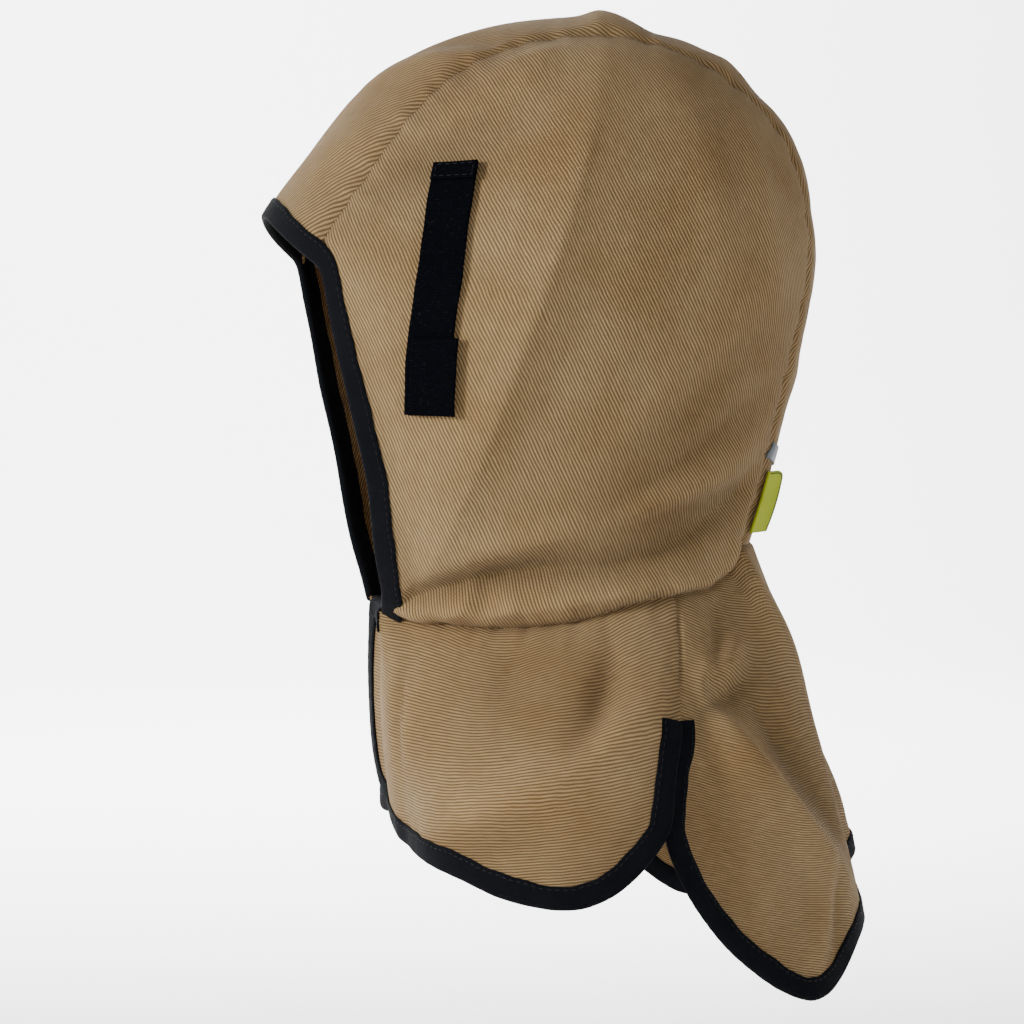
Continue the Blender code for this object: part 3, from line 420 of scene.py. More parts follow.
def twill(name, lean, pitch):
    """Cotton twill: raised diagonal ribs of short yarn floats, uneven dye, painted light on fold ridges
    and painted shade in fold valleys and seam creases.
    """
    material, tree, shader, cloth, solid = start_material(name, 0.95, 0.06, 0.18)
    wander = calc(tree, "MULTIPLY", calc(tree, "SUBTRACT", noise(tree, solid, 110.0), 0.5), 0.8)
    turned = wire(tree, "ShaderNodeVectorRotate", {"Vector": cloth, "Angle": -math.radians(lean)},
                  rotation_type="Z_AXIS").outputs[0]
    split = wire(tree, "ShaderNodeSeparateXYZ", {0: turned})
    across = calc(tree, "MULTIPLY_ADD", split.outputs[1], 1.0 / pitch, wander)
    along = calc(tree, "MULTIPLY", split.outputs[0], 1.0 / (pitch * 0.75))
    rib = wave(tree, across, 1.0)
    stagger = calc(tree, "MULTIPLY", calc(tree, "FLOOR", across), 0.38)
    floats = wave(tree, calc(tree, "ADD", along, stagger), 1.0)
    height = calc(tree, "MULTIPLY", rib, calc(tree, "MULTIPLY_ADD", floats, 0.30, 0.70))
    base = blend(tree, height, TWILL_GROOVE, TWILL_RIB)
    patches = calc(tree, "MULTIPLY_ADD", noise(tree, solid, 24.0, 4.0), 2.4, -0.7)
    dyed = blend(tree, 1.0, base, blend(tree, patches, TWILL_WARM, TWILL_WASHED), "MULTIPLY")
    stretched = wire(tree, "ShaderNodeMapping", {"Vector": turned, "Scale": (160.0, 1000.0, 1.0)})
    slub = calc(tree, "MULTIPLY_ADD", noise(tree, stretched.outputs[0], 1.0, 1.0), 0.5, 0.75)
    # Painted light and shade: the relief height lightens the colour on fold ridges and darkens it in
    # fold valleys and along the rolled seams.
    raised = wire(tree, "ShaderNodeAttribute", attribute_name="rise").outputs["Fac"]
    tone_scale = calc(tree, "MULTIPLY_ADD", raised, 55.0, 1.0)
    tone_scale = calc(tree, "MINIMUM", calc(tree, "MAXIMUM", tone_scale, 0.72), 1.18)
    shade = calc(tree, "MULTIPLY", slub, tone_scale)
    colour = blend(tree, 1.0, dyed, grey(tree, shade), "MULTIPLY")
    fuzz = calc(tree, "MULTIPLY_ADD", noise(tree, solid, 2600.0), 0.25, height)
    finish_material(tree, shader, colour, fuzz, 0.00028)
    return material


def seam_roll(gap):
    return -SEAM_ROLL * np.exp(-(gap / SEAM_ROLL_WIDTH) ** 2)


def pucker(along, gap):
    return SEAM_PUCKER * ripple(along, PUCKER_WAVES) * np.exp(-gap / PUCKER_REACH)


def neck_along(points):
    return np.arctan2(np.abs(points[:, 0]), NECK_MIDDLE - points[:, 1]) * NECK_RADIUS


def top_along(places):
    return np.radians(crown_angle(places)) * TOP_RADIUS


def side_relief(places, gap, face, neck):
    """Folds, rolled seam edges and puckers of the side panel, out from its plain surface."""
    shares = np.column_stack(((CENTRE_BEHIND_FACE - places[:, 0]) / CROWN_FRONT,
                              (-CROWN_RISE - places[:, 1]) / CROWN_DROP))
    plain_edge = PLAIN_EDGE + (TAPE_WIDTH - PLAIN_EDGE) * face
    height = fold_height(shares, SIDE_FOLDS, np.array((CROWN_FRONT, CROWN_DROP)))
    height *= smooth_step((gap - plain_edge) / FOLD_FADE)
    points = crown_side(places)
    at_neck, at_top = pucker(neck_along(points), gap), pucker(top_along(places), gap)
    height += (1.0 - face) * (seam_roll(gap) + neck * at_neck + (1.0 - neck) * at_top)
    uneven = 1.0 + 0.3 * ripple(neck_along(points), SWAG_WAVES)
    bulge = np.exp(-((gap - SWAG_FROM_SEAM) / SWAG_WIDTH) ** 2)
    return height + SWAG * neck * bulge * uneven


top_angles = np.linspace(BROW_ANGLE + BROW_FALL, NAPE_ANGLE + NAPE_RISE, 400)
top_line = crown_over(top_angles, strip_half_width(top_angles) + 0.0001)[:, 1:]
neck_line = trace(np.concatenate((top_line[-1:], from_shares(NECK_SEAM)[::-1],
                                  from_shares([THROAT_CORNER]))), 400)
face_line = trace(np.concatenate((from_shares([THROAT_CORNER]), from_shares(FACE_EDGE)[::-1][:-1],
                                  top_line[:1])), 400)
top_rays, neck_rays = int(SIDE_RAYS * TOP_RAY_SHARE), int(SIDE_RAYS * NECK_RAY_SHARE)
face_rays = SIDE_RAYS - top_rays - neck_rays
side_edge = np.concatenate((even_points(top_line, top_rays + 1)[:-1],
                            even_points(neck_line, neck_rays + 1)[:-1],
                            even_points(face_line, face_rays + 1)[:-1]))
on_face, on_neck = np.zeros(SIDE_RAYS), np.zeros(SIDE_RAYS)
on_face[top_rays + neck_rays:] = 1.0
on_neck[top_rays:top_rays + neck_rays] = 1.0
on_face, on_neck = ((np.roll(on, 1) + 2 * on + np.roll(on, -1)) / 4 for on in (on_face, on_neck))
side_middle = np.array((CENTRE_BEHIND_FACE, -CROWN_RISE - SIDE_MIDDLE_DROP * CROWN_DROP))
side_shares = edge_shares(SIDE_RINGS)[:, None]
side_places = (side_middle + (side_edge - side_middle) * side_shares[:, :, None]).reshape(-1, 2)
side_gap = np.linalg.norm(side_edge - side_middle, axis=1) * (1.0 - side_shares)
side_shape = side_gap.shape
side_plain = crown_side(side_places)
side_out = crown_normals(side_plain).reshape(side_shape + (3,))
side_plain = side_plain.reshape(side_shape + (3,))
side_height = side_relief(side_places, side_gap.ravel(),
                          np.broadcast_to(on_face, side_shape).ravel(),
                          np.broadcast_to(on_neck, side_shape).ravel()).reshape(side_shape)
side_turns = np.arctan2(side_edge[:, 1] - side_middle[1], side_edge[:, 0] - side_middle[0])
crown_twill = twill("crown_twill", -64.0, TWILL_PITCH)
for side, sign in (("left", 1.0), ("right", -1.0)):
    panel = add_panel("side_cloth_" + side, side_plain, side_out, side_height, side_turns,
                      crown_twill, np.array((sign, 1.0, 1.0)))
    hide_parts("side_panel_" + side)


# The centre strip is one long piece of the same twill from the brow to the nape. Its two edges are
# turned in and sewn to the side panels, which gathers it slightly on top.

STRIP_ROWS = 300
STRIP_COLUMNS = 44
ARC_PER_DEGREE = 0.0020
STRIP_FOLD_WIDTH = 0.035
STRIP_FADE = 0.006
STRIP_SEAM_FADE = 0.004
BROW_BEND_FROM = 0.80
NAPE_BEND_TO = 0.16
# Angle and share of the half-width, three times, then widths, height and crease.
STRIP_FOLDS = (
    (84, -1.1, 80, 0.0, 86, 1.1, 0.012, 0.006, 0.0034, 0.4),
    (72, -1.1, 75, 0.0, 70, 1.1, 0.010, 0.008, -0.0024, 0.3),
    (62, -1.1, 54, -0.2, 60, 1.1, 0.010, 0.007, 0.0022, 0.4),
    (50, -1.1, 46, 0.0, 52, 1.1, 0.008, 0.008, -0.0014, 0.2),
    (112, 1.1, 118, 0.4, 132, 0.1, 0.007, 0.009, 0.0020, 0.3),
    (112, -1.1, 118, -0.4, 132, -0.1, 0.007, 0.009, 0.0020, 0.3),
    (104, 1.1, 108, 0.5, 120, 0.2, 0.006, 0.007, -0.0018, 0.3),
    (136, 1.0, 142, 0.6, 152, 0.5, 0.008, 0.010, 0.0014, 0.2),
    (24, -1.1, 20, 0.0, 26, 1.1, 0.012, 0.012, -0.0014, 0.1),
    (-12, -1.1, -18, 0.0, -10, 1.1, 0.010, 0.010, 0.0014, 0.1),
)


def strip_end(across, brow):
    part = np.abs(across) / strip_half_width(160.0 if brow else -50.0)
    return (BROW_ANGLE + BROW_FALL * part ** 2) if brow else (NAPE_ANGLE + NAPE_RISE * part ** 2)


def strip_relief(angle, part):
    """Folds and gathered edges of the centre strip."""
    gap = (1.0 - np.abs(part)) * strip_half_width(angle)
    from_brow = (strip_end(part * strip_half_width(angle), True) - angle) * ARC_PER_DEGREE
    height = fold_height(np.column_stack((angle, part)), STRIP_FOLDS,
                         np.array((ARC_PER_DEGREE, STRIP_FOLD_WIDTH)))
    height *= smooth_step(gap / STRIP_FADE) * smooth_step((from_brow - TAPE_WIDTH) / FOLD_FADE)
    sewn = smooth_step((from_brow - TAPE_WIDTH) / STRIP_SEAM_FADE)
    return height + sewn * (seam_roll(gap) + pucker(np.radians(angle) * TOP_RADIUS, gap))


def add_grid(name, inside, out, thickness, uvs, material, rise=None):
    """A thin closed piece over a grid of inside points."""
    rows, columns = inside.shape[:2]
    flat = inside.reshape(-1, 3)
    vertices = np.concatenate((flat, flat + out.reshape(-1, 3) * thickness))
    skin = rows * columns
    r, c = np.meshgrid(np.arange(rows - 1), np.arange(columns - 1), indexing="ij")
    a = (r * columns + c).ravel()
    quads = np.stack((a, a + 1, a + columns + 1, a + columns), 1)
    faces = [tuple(q) for q in quads.tolist()]
    faces += [tuple(q) for q in (quads[:, ::-1] + skin).tolist()]
    rim = list(range(columns)) + [k * columns + columns - 1 for k in range(1, rows)]
    rim += [(rows - 1) * columns + k for k in range(columns - 2, -1, -1)]
    rim += [k * columns for k in range(rows - 2, 0, -1)]
    for k, a in enumerate(rim):
        b = rim[(k + 1) % len(rim)]
        faces.append((b, a, a + skin, b + skin))
    if rise is not None:
        rise = np.tile(rise.ravel(), 2)
    uvs = np.tile(uvs.reshape(-1, 2), (2, 1))
    return add_piece(name, vertices, faces, uvs, material, rise)


strip_columns = np.sin(np.linspace(-1.0, 1.0, STRIP_COLUMNS + 1) * math.pi / 2 * 0.94)
strip_columns /= strip_columns[-1]
strip_rows, strip_places = [], []
for share in np.linspace(1.0, 0.0, STRIP_ROWS):
    angle = top_angles[-1] + share * (top_angles[0] - top_angles[-1])
    across = strip_columns * strip_half_width(angle)
    at_brow = smooth_step((share - BROW_BEND_FROM) / (1.0 - BROW_BEND_FROM))
    at_nape = smooth_step((NAPE_BEND_TO - share) / NAPE_BEND_TO)
    bend = ((strip_end(across, True) - top_angles[0]) * at_brow
            + (strip_end(across, False) - top_angles[-1]) * at_nape)
    strip_rows.append(crown_over(angle + bend, across))
    strip_places.append(np.column_stack((angle + bend, strip_columns)))
strip_plain = np.array(strip_rows)
strip_places = np.array(strip_places).reshape(-1, 2)
strip_height = strip_relief(strip_places[:, 0], strip_places[:, 1]).reshape(strip_plain.shape[:2])
strip_out = crown_normals(strip_plain.reshape(-1, 3)).reshape(strip_plain.shape)
down_strip = along_path(strip_plain[:, STRIP_COLUMNS // 2])
strip_uv = np.stack(np.broadcast_arrays(strip_plain[:, :, 0], -down_strip[:, None]), -1)
strip = add_grid("centre_cloth", strip_plain + strip_out * strip_height[:, :, None], strip_out,
                 CLOTH, strip_uv, crown_twill, strip_height)
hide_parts("centre_panel")


# The face opening is bound with black cotton tape, folded over the cut edge and sewn through along
# its inner side. It runs up one side of the face, over the brow and down the other.

TAPE_THICKNESS = 0.0009
TAPE_GAP = 0.00015
TAPE_STEP = 0.0020
TAPE_UNEVEN = 0.00022
TAPE_FOLD = -0.0008
TAPE_TUCK = 0.0003
TAPE_ROUND = 0.0004
TAPE_TURN_IN = 0.0006
TAPE_SIDE_WAVES = ((0.031, 1.0, 0.5), (0.0137, 0.7, 2.1))
TAPE_PUFF_WAVES = ((0.0031, 0.5, 0.0), (0.041, 1.0, 1.3))
STITCH_LENGTH = 0.0023
STITCH_PITCH = 0.0033
STITCH_RADIUS = 0.0002
STITCH_INSET = 0.0013


def tape_finish():
    """Close black tape: fine ribs across its length, rubbed folds and loose lint."""
    material, tree, shader, cloth, solid = start_material("black_tape", 0.95, 0.02, 0.10)
    split = wire(tree, "ShaderNodeSeparateXYZ", {0: cloth})
    weave = calc(tree, "MULTIPLY", wave(tree, split.outputs[0], 0.00048),
                 wave(tree, split.outputs[1], 0.00055))
    tone = blend(tree, weave, (0.0012, 0.0016, 0.0030, 1.0), (0.0060, 0.0070, 0.0110, 1.0))
    lint = calc(tree, "MULTIPLY", calc(tree, "GREATER_THAN", noise(tree, solid, 900.0, 3.0), 0.71),
                0.5)
    fluffy = blend(tree, lint, tone, (0.030, 0.031, 0.036, 1.0))
    rubbed = blend(tree, calc(tree, "MULTIPLY", noise(tree, solid, 60.0, 3.0), 0.5), fluffy,
                   (0.0080, 0.0088, 0.0120, 1.0))
    finish_material(tree, shader, rubbed, weave, 0.00012, 0.7)
    return material


def thread_finish(name, colour):
    """Twisted sewing thread."""
    material, tree, shader, cloth, solid = start_material(name, 0.7, 0.05, 0.25)
    split = wire(tree, "ShaderNodeSeparateXYZ", {0: cloth})
    twist = wave(tree, calc(tree, "ADD", split.outputs[0], split.outputs[1]), 0.0007)
    dark = tuple(part * 0.55 for part in colour[:3]) + (1.0,)
    finish_material(tree, shader, blend(tree, twist, dark, colour), twist, 0.00008)
    return material


def evened(rows, turns):
    """Rows evened out along their length, the two ends kept."""
    for _ in range(turns):
        rows = rows.copy()
        rows[1:-1] = (rows[:-2] + 2 * rows[1:-1] + rows[2:]) / 4
    return rows


def add_tube(name, loops, uvs, material):
    """A closed piece through loops of points, shut at both ends."""
    stations, corners = loops.shape[:2]
    s, c = np.meshgrid(np.arange(stations - 1), np.arange(corners), indexing="ij")
    a, d = s * corners + c, s * corners + (c + 1) % corners
    quads = np.stack((a, d, d + corners, a + corners), -1).reshape(-1, 4)
    faces = [tuple(q) for q in quads.tolist()]
    last = (stations - 1) * corners
    for k in range(corners // 2 - 1):
        faces.append((k + 1, k, corners - 1 - k, corners - 2 - k))
        faces.append((last + k, last + k + 1, last + corners - 2 - k, last + corners - 1 - k))
    return add_piece(name, loops.reshape(-1, 3), faces, uvs.reshape(-1, 2), material)


def add_tape(name, edge, inner, edge_out, inner_out, flip=(1.0, 1.0, 1.0)):
    """Tape folded over a cloth edge, and the line and direction of its stitching."""
    along = along_path(edge)
    away = unit(edge - inner)
    wobble = TAPE_UNEVEN * ripple(along, TAPE_SIDE_WAVES)[:, None]
    puff = 1.0 + 0.10 * ripple(along, TAPE_PUFF_WAVES)[:, None]
    inner = inner - away * wobble
    near, far = CLOTH / 2 + TAPE_GAP, CLOTH / 2 + TAPE_GAP + TAPE_THICKNESS * puff
    edge_mid, inner_mid = edge + edge_out * CLOTH / 2, inner + inner_out * CLOTH / 2
    between, between_out = (edge_mid + inner_mid) / 2, unit(edge_out + inner_out)
    rows = [
        (inner_mid + inner_out * far * 0.80 - away * TAPE_TUCK, -TAPE_WIDTH),
        (inner_mid + inner_out * far * 0.97 + away * TAPE_ROUND, TAPE_TURN_IN - TAPE_WIDTH),
        ((inner_mid + between) / 2 + inner_out * far * 1.02, -TAPE_WIDTH * 0.75),
        (between + between_out * far * 1.04, -TAPE_WIDTH * 0.5),
    ]
    for turn in np.radians((90, 60, 30, 0, -30, -60, -90)):
        rows.append((edge_mid + edge_out * far * math.sin(turn)
                     + away * (far * math.cos(turn) * 0.9 + TAPE_FOLD), -turn * 0.0016))
    rows += [
        (between - between_out * far, TAPE_WIDTH * 0.5),
        (inner_mid - inner_out * far * 0.97 + away * TAPE_ROUND, TAPE_WIDTH - TAPE_TURN_IN),
        (inner_mid - inner_out * near - away * TAPE_TUCK, TAPE_WIDTH),
        (between - between_out * near, TAPE_WIDTH * 0.5),
    ]
    for turn in np.radians((-70, 0, 70)):
        rows.append((edge_mid + edge_out * near * math.sin(turn)
                     + away * (near * math.cos(turn) + TAPE_FOLD / 2), 0.0))
    rows += [
        (between + between_out * near, -TAPE_WIDTH * 0.5),
        (inner_mid + inner_out * near - away * TAPE_TUCK, -TAPE_WIDTH),
    ]
    loops = np.stack([row[0] for row in rows], 1) * flip
    across = np.array([row[1] for row in rows])
    uvs = np.stack(np.broadcast_arrays(along[:, None], across[None]), -1)
    tape = add_tube(name, loops, uvs, black_tape)
    line = inner_mid + inner_out * (far + 0.00003) + away * STITCH_INSET
    return tape, line * flip, inner_out * flip


def add_stitches(name, path, out, material, slot):
    """A row of stitches along a path: short raised runs of thread with sunken ends."""
    along = along_path(path)
    sides = np.linspace(0.0, 2 * math.pi, 6, endpoint=False)
    vertices, faces, uvs = [], [], []
    for k in range(max(1, int(along[-1] / STITCH_PITCH))):
        base = len(vertices)
        for section in np.linspace(-1.0, 1.0, 5):
            at = (k + 0.5) * STITCH_PITCH + section * STITCH_LENGTH / 2
            point, ahead, behind = (
                np.array([np.interp(at + step, along, path[:, j]) for j in range(3)])
                for step in (0.0, 0.0002, -0.0002))
            run = unit(ahead - behind)
            up = np.array([np.interp(at, along, out[:, j]) for j in range(3)])
            up = unit(up - run * np.dot(up, run))
            aside = np.cross(run, up)
            size = STITCH_RADIUS * math.sqrt(1.0 - section ** 2 * 0.86)
            sink = STITCH_RADIUS * (0.10 - 0.85 * section ** 4)
            for turn in sides:
                vertices.append(point + up * (sink + size * math.sin(turn))
                                + aside * size * math.cos(turn))
                uvs.append((at, turn * STITCH_RADIUS))
        for ring in range(4):
            for j in range(6):
                a, b = base + ring * 6 + j, base + ring * 6 + (j + 1) % 6
                faces.append((a, b, b + 6, a + 6))
        faces.append(tuple(base + j for j in range(5, -1, -1)))
        faces.append(tuple(base + 24 + j for j in range(6)))
    return add_piece(name, vertices, faces, uvs, material)


black_tape = tape_finish()
black_thread = thread_finish("black_thread", (0.010, 0.011, 0.016, 1.0))
brow_across = strip_columns * strip_half_width(top_angles[0])
brow = crown_over(strip_end(brow_across, True), brow_across)
half_face = crown_side(face_line)
mirror = np.array((-1.0, 1.0, 1.0))
face_path = np.concatenate((half_face, brow[::-1][1:-1], (half_face * mirror)[::-1]))
face_path = even_points(face_path, int(along_path(face_path)[-1] / TAPE_STEP))
face_path = onto_crown(evened(face_path, 5))
face_out = crown_normals(face_path)
face_in = unit(evened(np.cross(np.gradient(face_path, axis=0), face_out), 6))
if face_in[len(face_in) // 2, 1] < 0:
    face_in = -face_in
face_inner = onto_crown(face_path + face_in * TAPE_WIDTH)
face_tape, line, line_out = add_tape("face_tape", face_path, face_inner, face_out,
                                     crown_normals(face_inner))
face_stitches = add_stitches("face_tape_stitches", line, line_out, black_thread, "tape")
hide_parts("face_binding")


# The two front lobes of the cape are twill with the rib lying level. The left one laps over the
# right at the throat, and a pad of hook tape is sewn behind the lap. Black tape binds both.

CAPE_REACH = 0.128
FRONT_DROP = 0.1085
BACK_DROP = 0.169
SLIT_DROP = 0.0475
THROAT_HOLLOW = 0.007
LAP_LIFT = 0.0054
LAP_FADE = 0.02
FLARE = 0.014
FLARE_RISE = 0.022
SEAM_ANGLE = 122.0
SLIT_ANGLE = 109.5
LAP_ANGLE = -14.0
CAPE_FLARE = (
    (0, 0.590, 0.560, 0.490, 0.440),
    (30, 0.680, 0.660, 0.605, 0.555),
    (57, 0.740, 0.850, 0.930, 0.985),
    (80, 0.730, 0.900, 1.055, 1.170),
    (95, 0.715, 0.855, 0.965, 1.040),
    (115, 0.700, 0.810, 0.885, 0.930),
    (135, 0.725, 0.835, 0.915, 0.985),
    (160, 0.745, 0.855, 0.940, 1.005),
    (180, 0.712, 0.832, 0.930, 1.000),
)
FRONT_EDGE = (
    (108.4, 0.500), (106.2, 0.580), (104.0, 0.702), (102.0, 0.803), (98.0, 0.870), (92.7, 0.939),
    (84.3, 0.995), (70.0, 0.955), (57.0, 0.885), (31.6, 0.855), (12.0, 0.845), (-3.0, 0.800),
    (-11.0, 0.715), (-14.0, 0.600),
)
# Folds of a front lobe: angles and shares of BACK_DROP, then widths, height and crease.
FRONT_FOLDS = (
    (110, 0.19, 84, 0.345, 50, 0.47, 0.014, 0.009, 0.0072, 0.5),
    (95, 0.08, 92, 0.20, 80, 0.31, 0.009, 0.007, -0.0058, 0.4),
    (78, 0.42, 66, 0.48, 44, 0.52, 0.009, 0.009, -0.0044, 0.3),
    (36, 0.04, 32, 0.20, 34, 0.36, 0.006, 0.006, 0.0016, 0.5),
    (28, 0.08, 27, 0.22, 30, 0.36, 0.003, 0.003, -0.0016, 0.6),
    (62, 0.00, 60, 0.10, 66, 0.20, 0.010, 0.010, -0.0018, 0.2),
    (104, 0.40, 98, 0.52, 88, 0.58, 0.007, 0.007, -0.0020, 0.2),
    (44, 0.48, 46, 0.54, 50, 0.60, 0.006, 0.006, 0.0016, 0.3),
    (60, 0.52, 62, 0.57, 66, 0.62, 0.005, 0.006, 0.0014, 0.3),
)
CAPE_PLAIN_EDGE = 0.003
CAPE_FADE = 0.012
CAPE_MEAN_REACH = 0.8
INSIDE_GAP = 0.02
FRONT_RAYS = 260
FRONT_RINGS = 54
CLOSURE_STITCHES = ((28.0, 0.155), (31.5, 0.262))
PATCH_SIZE = (0.0145, 0.026)
PATCH_DROP = 0.035
PATCH_FROM_EDGE = 0.0102
PATCH_DEPTH = 0.0012
NAPE_CORNER = (150.2, 152.4)
SEAM_FADE = 0.022
neck_ring = crown_side(neck_line)


def neck_seam_rows():
    """Angle round the neck from the throat, inside reach and height, along the neck seam."""
    angle = np.degrees(np.arctan2(neck_ring[:, 0], NECK_MIDDLE - neck_ring[:, 1]))
    order = np.argsort(angle)
    order = order[angle[order] < NAPE_CORNER[0]]
    corner, strip_corner = neck_ring[-1], neck_ring[0]
    nape = crown_over(np.array([NAPE_ANGLE]), np.array([0.0]))[0]
    part = np.linspace(0.0, 0.9, 12)
    throat_x = corner[0] * part
    throat_y = NECK_MIDDLE - corner[1] - THROAT_HOLLOW * (1.0 - part ** 2)
    knots = np.concatenate((np.degrees(np.arctan2(throat_x, throat_y)), angle[order],
                            [NAPE_CORNER[1], 180.0]))
    reach = np.concatenate((np.hypot(throat_x, throat_y),
                            np.hypot(neck_ring[:, 0], neck_ring[:, 1] - NECK_MIDDLE)[order],
                            [math.hypot(strip_corner[0], strip_corner[1] - NECK_MIDDLE),
                             nape[1] - NECK_MIDDLE]))
    height = np.concatenate((np.full(12, corner[2]), neck_ring[order, 2],
                             [strip_corner[2], nape[2]]))
    return np.stack([np.interp(seam_angles, knots, row) for row in (reach, height)])


def spread_out(rows, degrees):
    """Rows of values at the seam angles, each evened out over its neighbours."""
    share = np.exp(-(np.arange(-96, 97) * 0.25 / degrees) ** 2)
    padded = np.pad(rows, ((0, 0), (96, 96)), mode="reflect")
    return np.stack([np.convolve(row, share / share.sum(), "valid") for row in padded])


seam_angles = np.linspace(0.0, 180.0, 721)
seam_exact = spread_out(neck_seam_rows(), 0.8)
seam_even = spread_out(seam_exact, 9.0)


def neck_seam_at(angle, drop):
    """Reach and height the cape hangs from: the seam itself near it, evened out further down."""
    turned = np.abs(np.mod(np.asarray(angle, float) + 180.0, 360.0) - 180.0)
    exact, even = (np.stack([np.interp(turned, seam_angles, row) for row in rows])
                   for rows in (seam_exact, seam_even))
    return even + (exact - even) * np.exp(-(drop / SEAM_FADE) ** 2)


def far_side(angle):
    return smooth_step((angle - 181.0) / 12.0) * smooth_step((238.0 - angle) / 26.0)


def cape_surface(places, lift):
    """Inside points of the cape at angles round the neck and drops from the seam."""
    angle, drop = places[:, 0], places[:, 1]
    reach_top, height_top = neck_seam_at(angle, drop)
    turned = np.abs(np.mod(angle + 180.0, 360.0) - 180.0)
    rows = np.array(CAPE_FLARE)
    levels = [reach_top]
    for column in range(1, rows.shape[1]):
        levels.append(CAPE_REACH * read_curve(rows[:, 0], rows[:, column], turned))
    levels = np.stack(levels, 1)
    top = levels.shape[1] - 1
    depth = np.clip(drop / BACK_DROP, -0.05, 1.2) * top
    step = np.clip(np.floor(depth).astype(int), 0, top - 1)
    part = depth - step
    index = np.arange(len(drop))
    low, here = levels[index, np.clip(step - 1, 0, None)], levels[index, step]
    there, high = levels[index, step + 1], levels[index, np.clip(step + 2, None, top)]
    slope_here = np.where(step > 0, (there - low) / 2, there - here)
    slope_there = np.where(step < top - 1, (high - here) / 2, there - here)
    reach = (here * (1 + 2 * part) * (1 - part) ** 2 + slope_here * part * (1 - part) ** 2
             + there * part ** 2 * (3 - 2 * part) - slope_there * part ** 2 * (1 - part))
    reach = reach + FLARE * far_side(angle) * smooth_step((drop / BACK_DROP - 0.30) / 0.45)
    reach = reach + lift(angle, drop)
    turn = np.radians(angle)
    return np.column_stack((reach * np.sin(turn), NECK_MIDDLE - reach * np.cos(turn),
                            height_top - drop))


def cape_normals(places, lift):
    wider, lower = np.array((0.05, 0.0)), np.array((0.0, 1e-4))
    around = cape_surface(places + wider, lift) - cape_surface(places - wider, lift)
    down = cape_surface(places + lower, lift) - cape_surface(places - lower, lift)
    return unit(np.cross(down, around))


def slit_share(drop):
    return smooth_step((drop / SLIT_DROP - 0.70) / 0.36)


def front_lift(side):
    """Radial shift of a front lobe: over the back lobe, and over or under at the throat lap."""
    def lift(angle, drop):
        at_slit = smooth_step((angle - 82.0) / 16.0) * slit_share(drop)
        below = smooth_step(drop / LAP_FADE)
        at_throat = smooth_step((24.5 + 9.5 * below - angle) / (8.0 + 3.0 * below))
        return LAP_LIFT / 2 * (at_slit + side * at_throat)
    return lift


ACROSS_CAPE = math.radians(1.0) * CAPE_REACH * CAPE_MEAN_REACH
CAPE_SCALE = np.array((ACROSS_CAPE, 1.0))
FOLD_SCALE = np.array((ACROSS_CAPE, BACK_DROP))


def cape_edges(places):
    """Rolled edges and puckers along the neck seam and down to the slit."""
    angle, drop = places[:, 0], places[:, 1]
    turned = np.abs(np.mod(angle + 180.0, 360.0) - 180.0)
    at_neck = smooth_step((turned - 20.0) / 8.0) * (seam_roll(drop) + pucker(
        np.radians(turned) * NECK_RADIUS, drop))
    seam = SEAM_ANGLE + (SLIT_ANGLE - SEAM_ANGLE) * drop / SLIT_DROP
    from_seam = np.abs(turned - seam) * ACROSS_CAPE
    sewn = smooth_step((0.85 - drop / SLIT_DROP) / 0.2)
    return at_neck + sewn * (seam_roll(from_seam) * 0.8 + pucker(drop * 0.9, from_seam) * 0.6)


def front_relief(places, gap):
    height = fold_height(places / (1.0, BACK_DROP), FRONT_FOLDS, FOLD_SCALE)
    return height * smooth_step((gap - CAPE_PLAIN_EDGE) / CAPE_FADE) + cape_edges(places)


def add_lobe(name, parts, middle, rings, rays, lift, relief, material, flip):
    """A lobe of the cape over rings of places round its middle."""
    lengths = [along_path(part * CAPE_SCALE)[-1] for part in parts]
    edge = np.concatenate([
        even_points(part * CAPE_SCALE, max(4, round(rays * length / sum(lengths))) + 1)[:-1]
        for part, length in zip(parts, lengths)]) / CAPE_SCALE
    shares = edge_shares(rings)[:, None]
    places = (middle + (edge - middle) * shares[:, :, None]).reshape(-1, 2)
    gap = np.linalg.norm((edge - middle) * CAPE_SCALE, axis=1) * (1.0 - shares)
    height = relief(places, gap.ravel()).reshape(gap.shape)
    turns = np.arctan2(middle[1] - edge[:, 1], (edge[:, 0] - middle[0]) * ACROSS_CAPE)
    return add_panel(name, cape_surface(places, lift).reshape(gap.shape + (3,)),
                     cape_normals(places, lift).reshape(gap.shape + (3,)), height, turns, material,
                     flip)


def cape_tape_rows(path, middle, lift, relief):
    """Edge and inner points and directions for a tape along a lobe's free edge."""
    places = even_points(path * CAPE_SCALE, int(along_path(path * CAPE_SCALE)[-1] / TAPE_STEP))
    places = evened(places, 4)
    run = np.gradient(places, axis=0)
    inward = unit(evened(unit(np.column_stack((-run[:, 1], run[:, 0]))), 8))
    if ((middle * CAPE_SCALE - places) * inward).sum() < 0:
        inward = -inward
    places, inward = places / CAPE_SCALE, inward / CAPE_SCALE
    edge_out = cape_normals(places, lift)
    edge = cape_surface(places, lift) + edge_out * relief(places, np.zeros(len(places)))[:, None]
    reach = np.full((len(places), 1), TAPE_WIDTH)
    for _ in range(3):
        inner_places = places + inward * reach
        inner_out = cape_normals(inner_places, lift)
        gap = np.full(len(places), TAPE_WIDTH)
        inner = cape_surface(inner_places, lift) + inner_out * relief(inner_places, gap)[:, None]
        reach = reach * TAPE_WIDTH / np.linalg.norm(inner - edge, axis=1)[:, None]
    return edge, inner, edge_out, inner_out


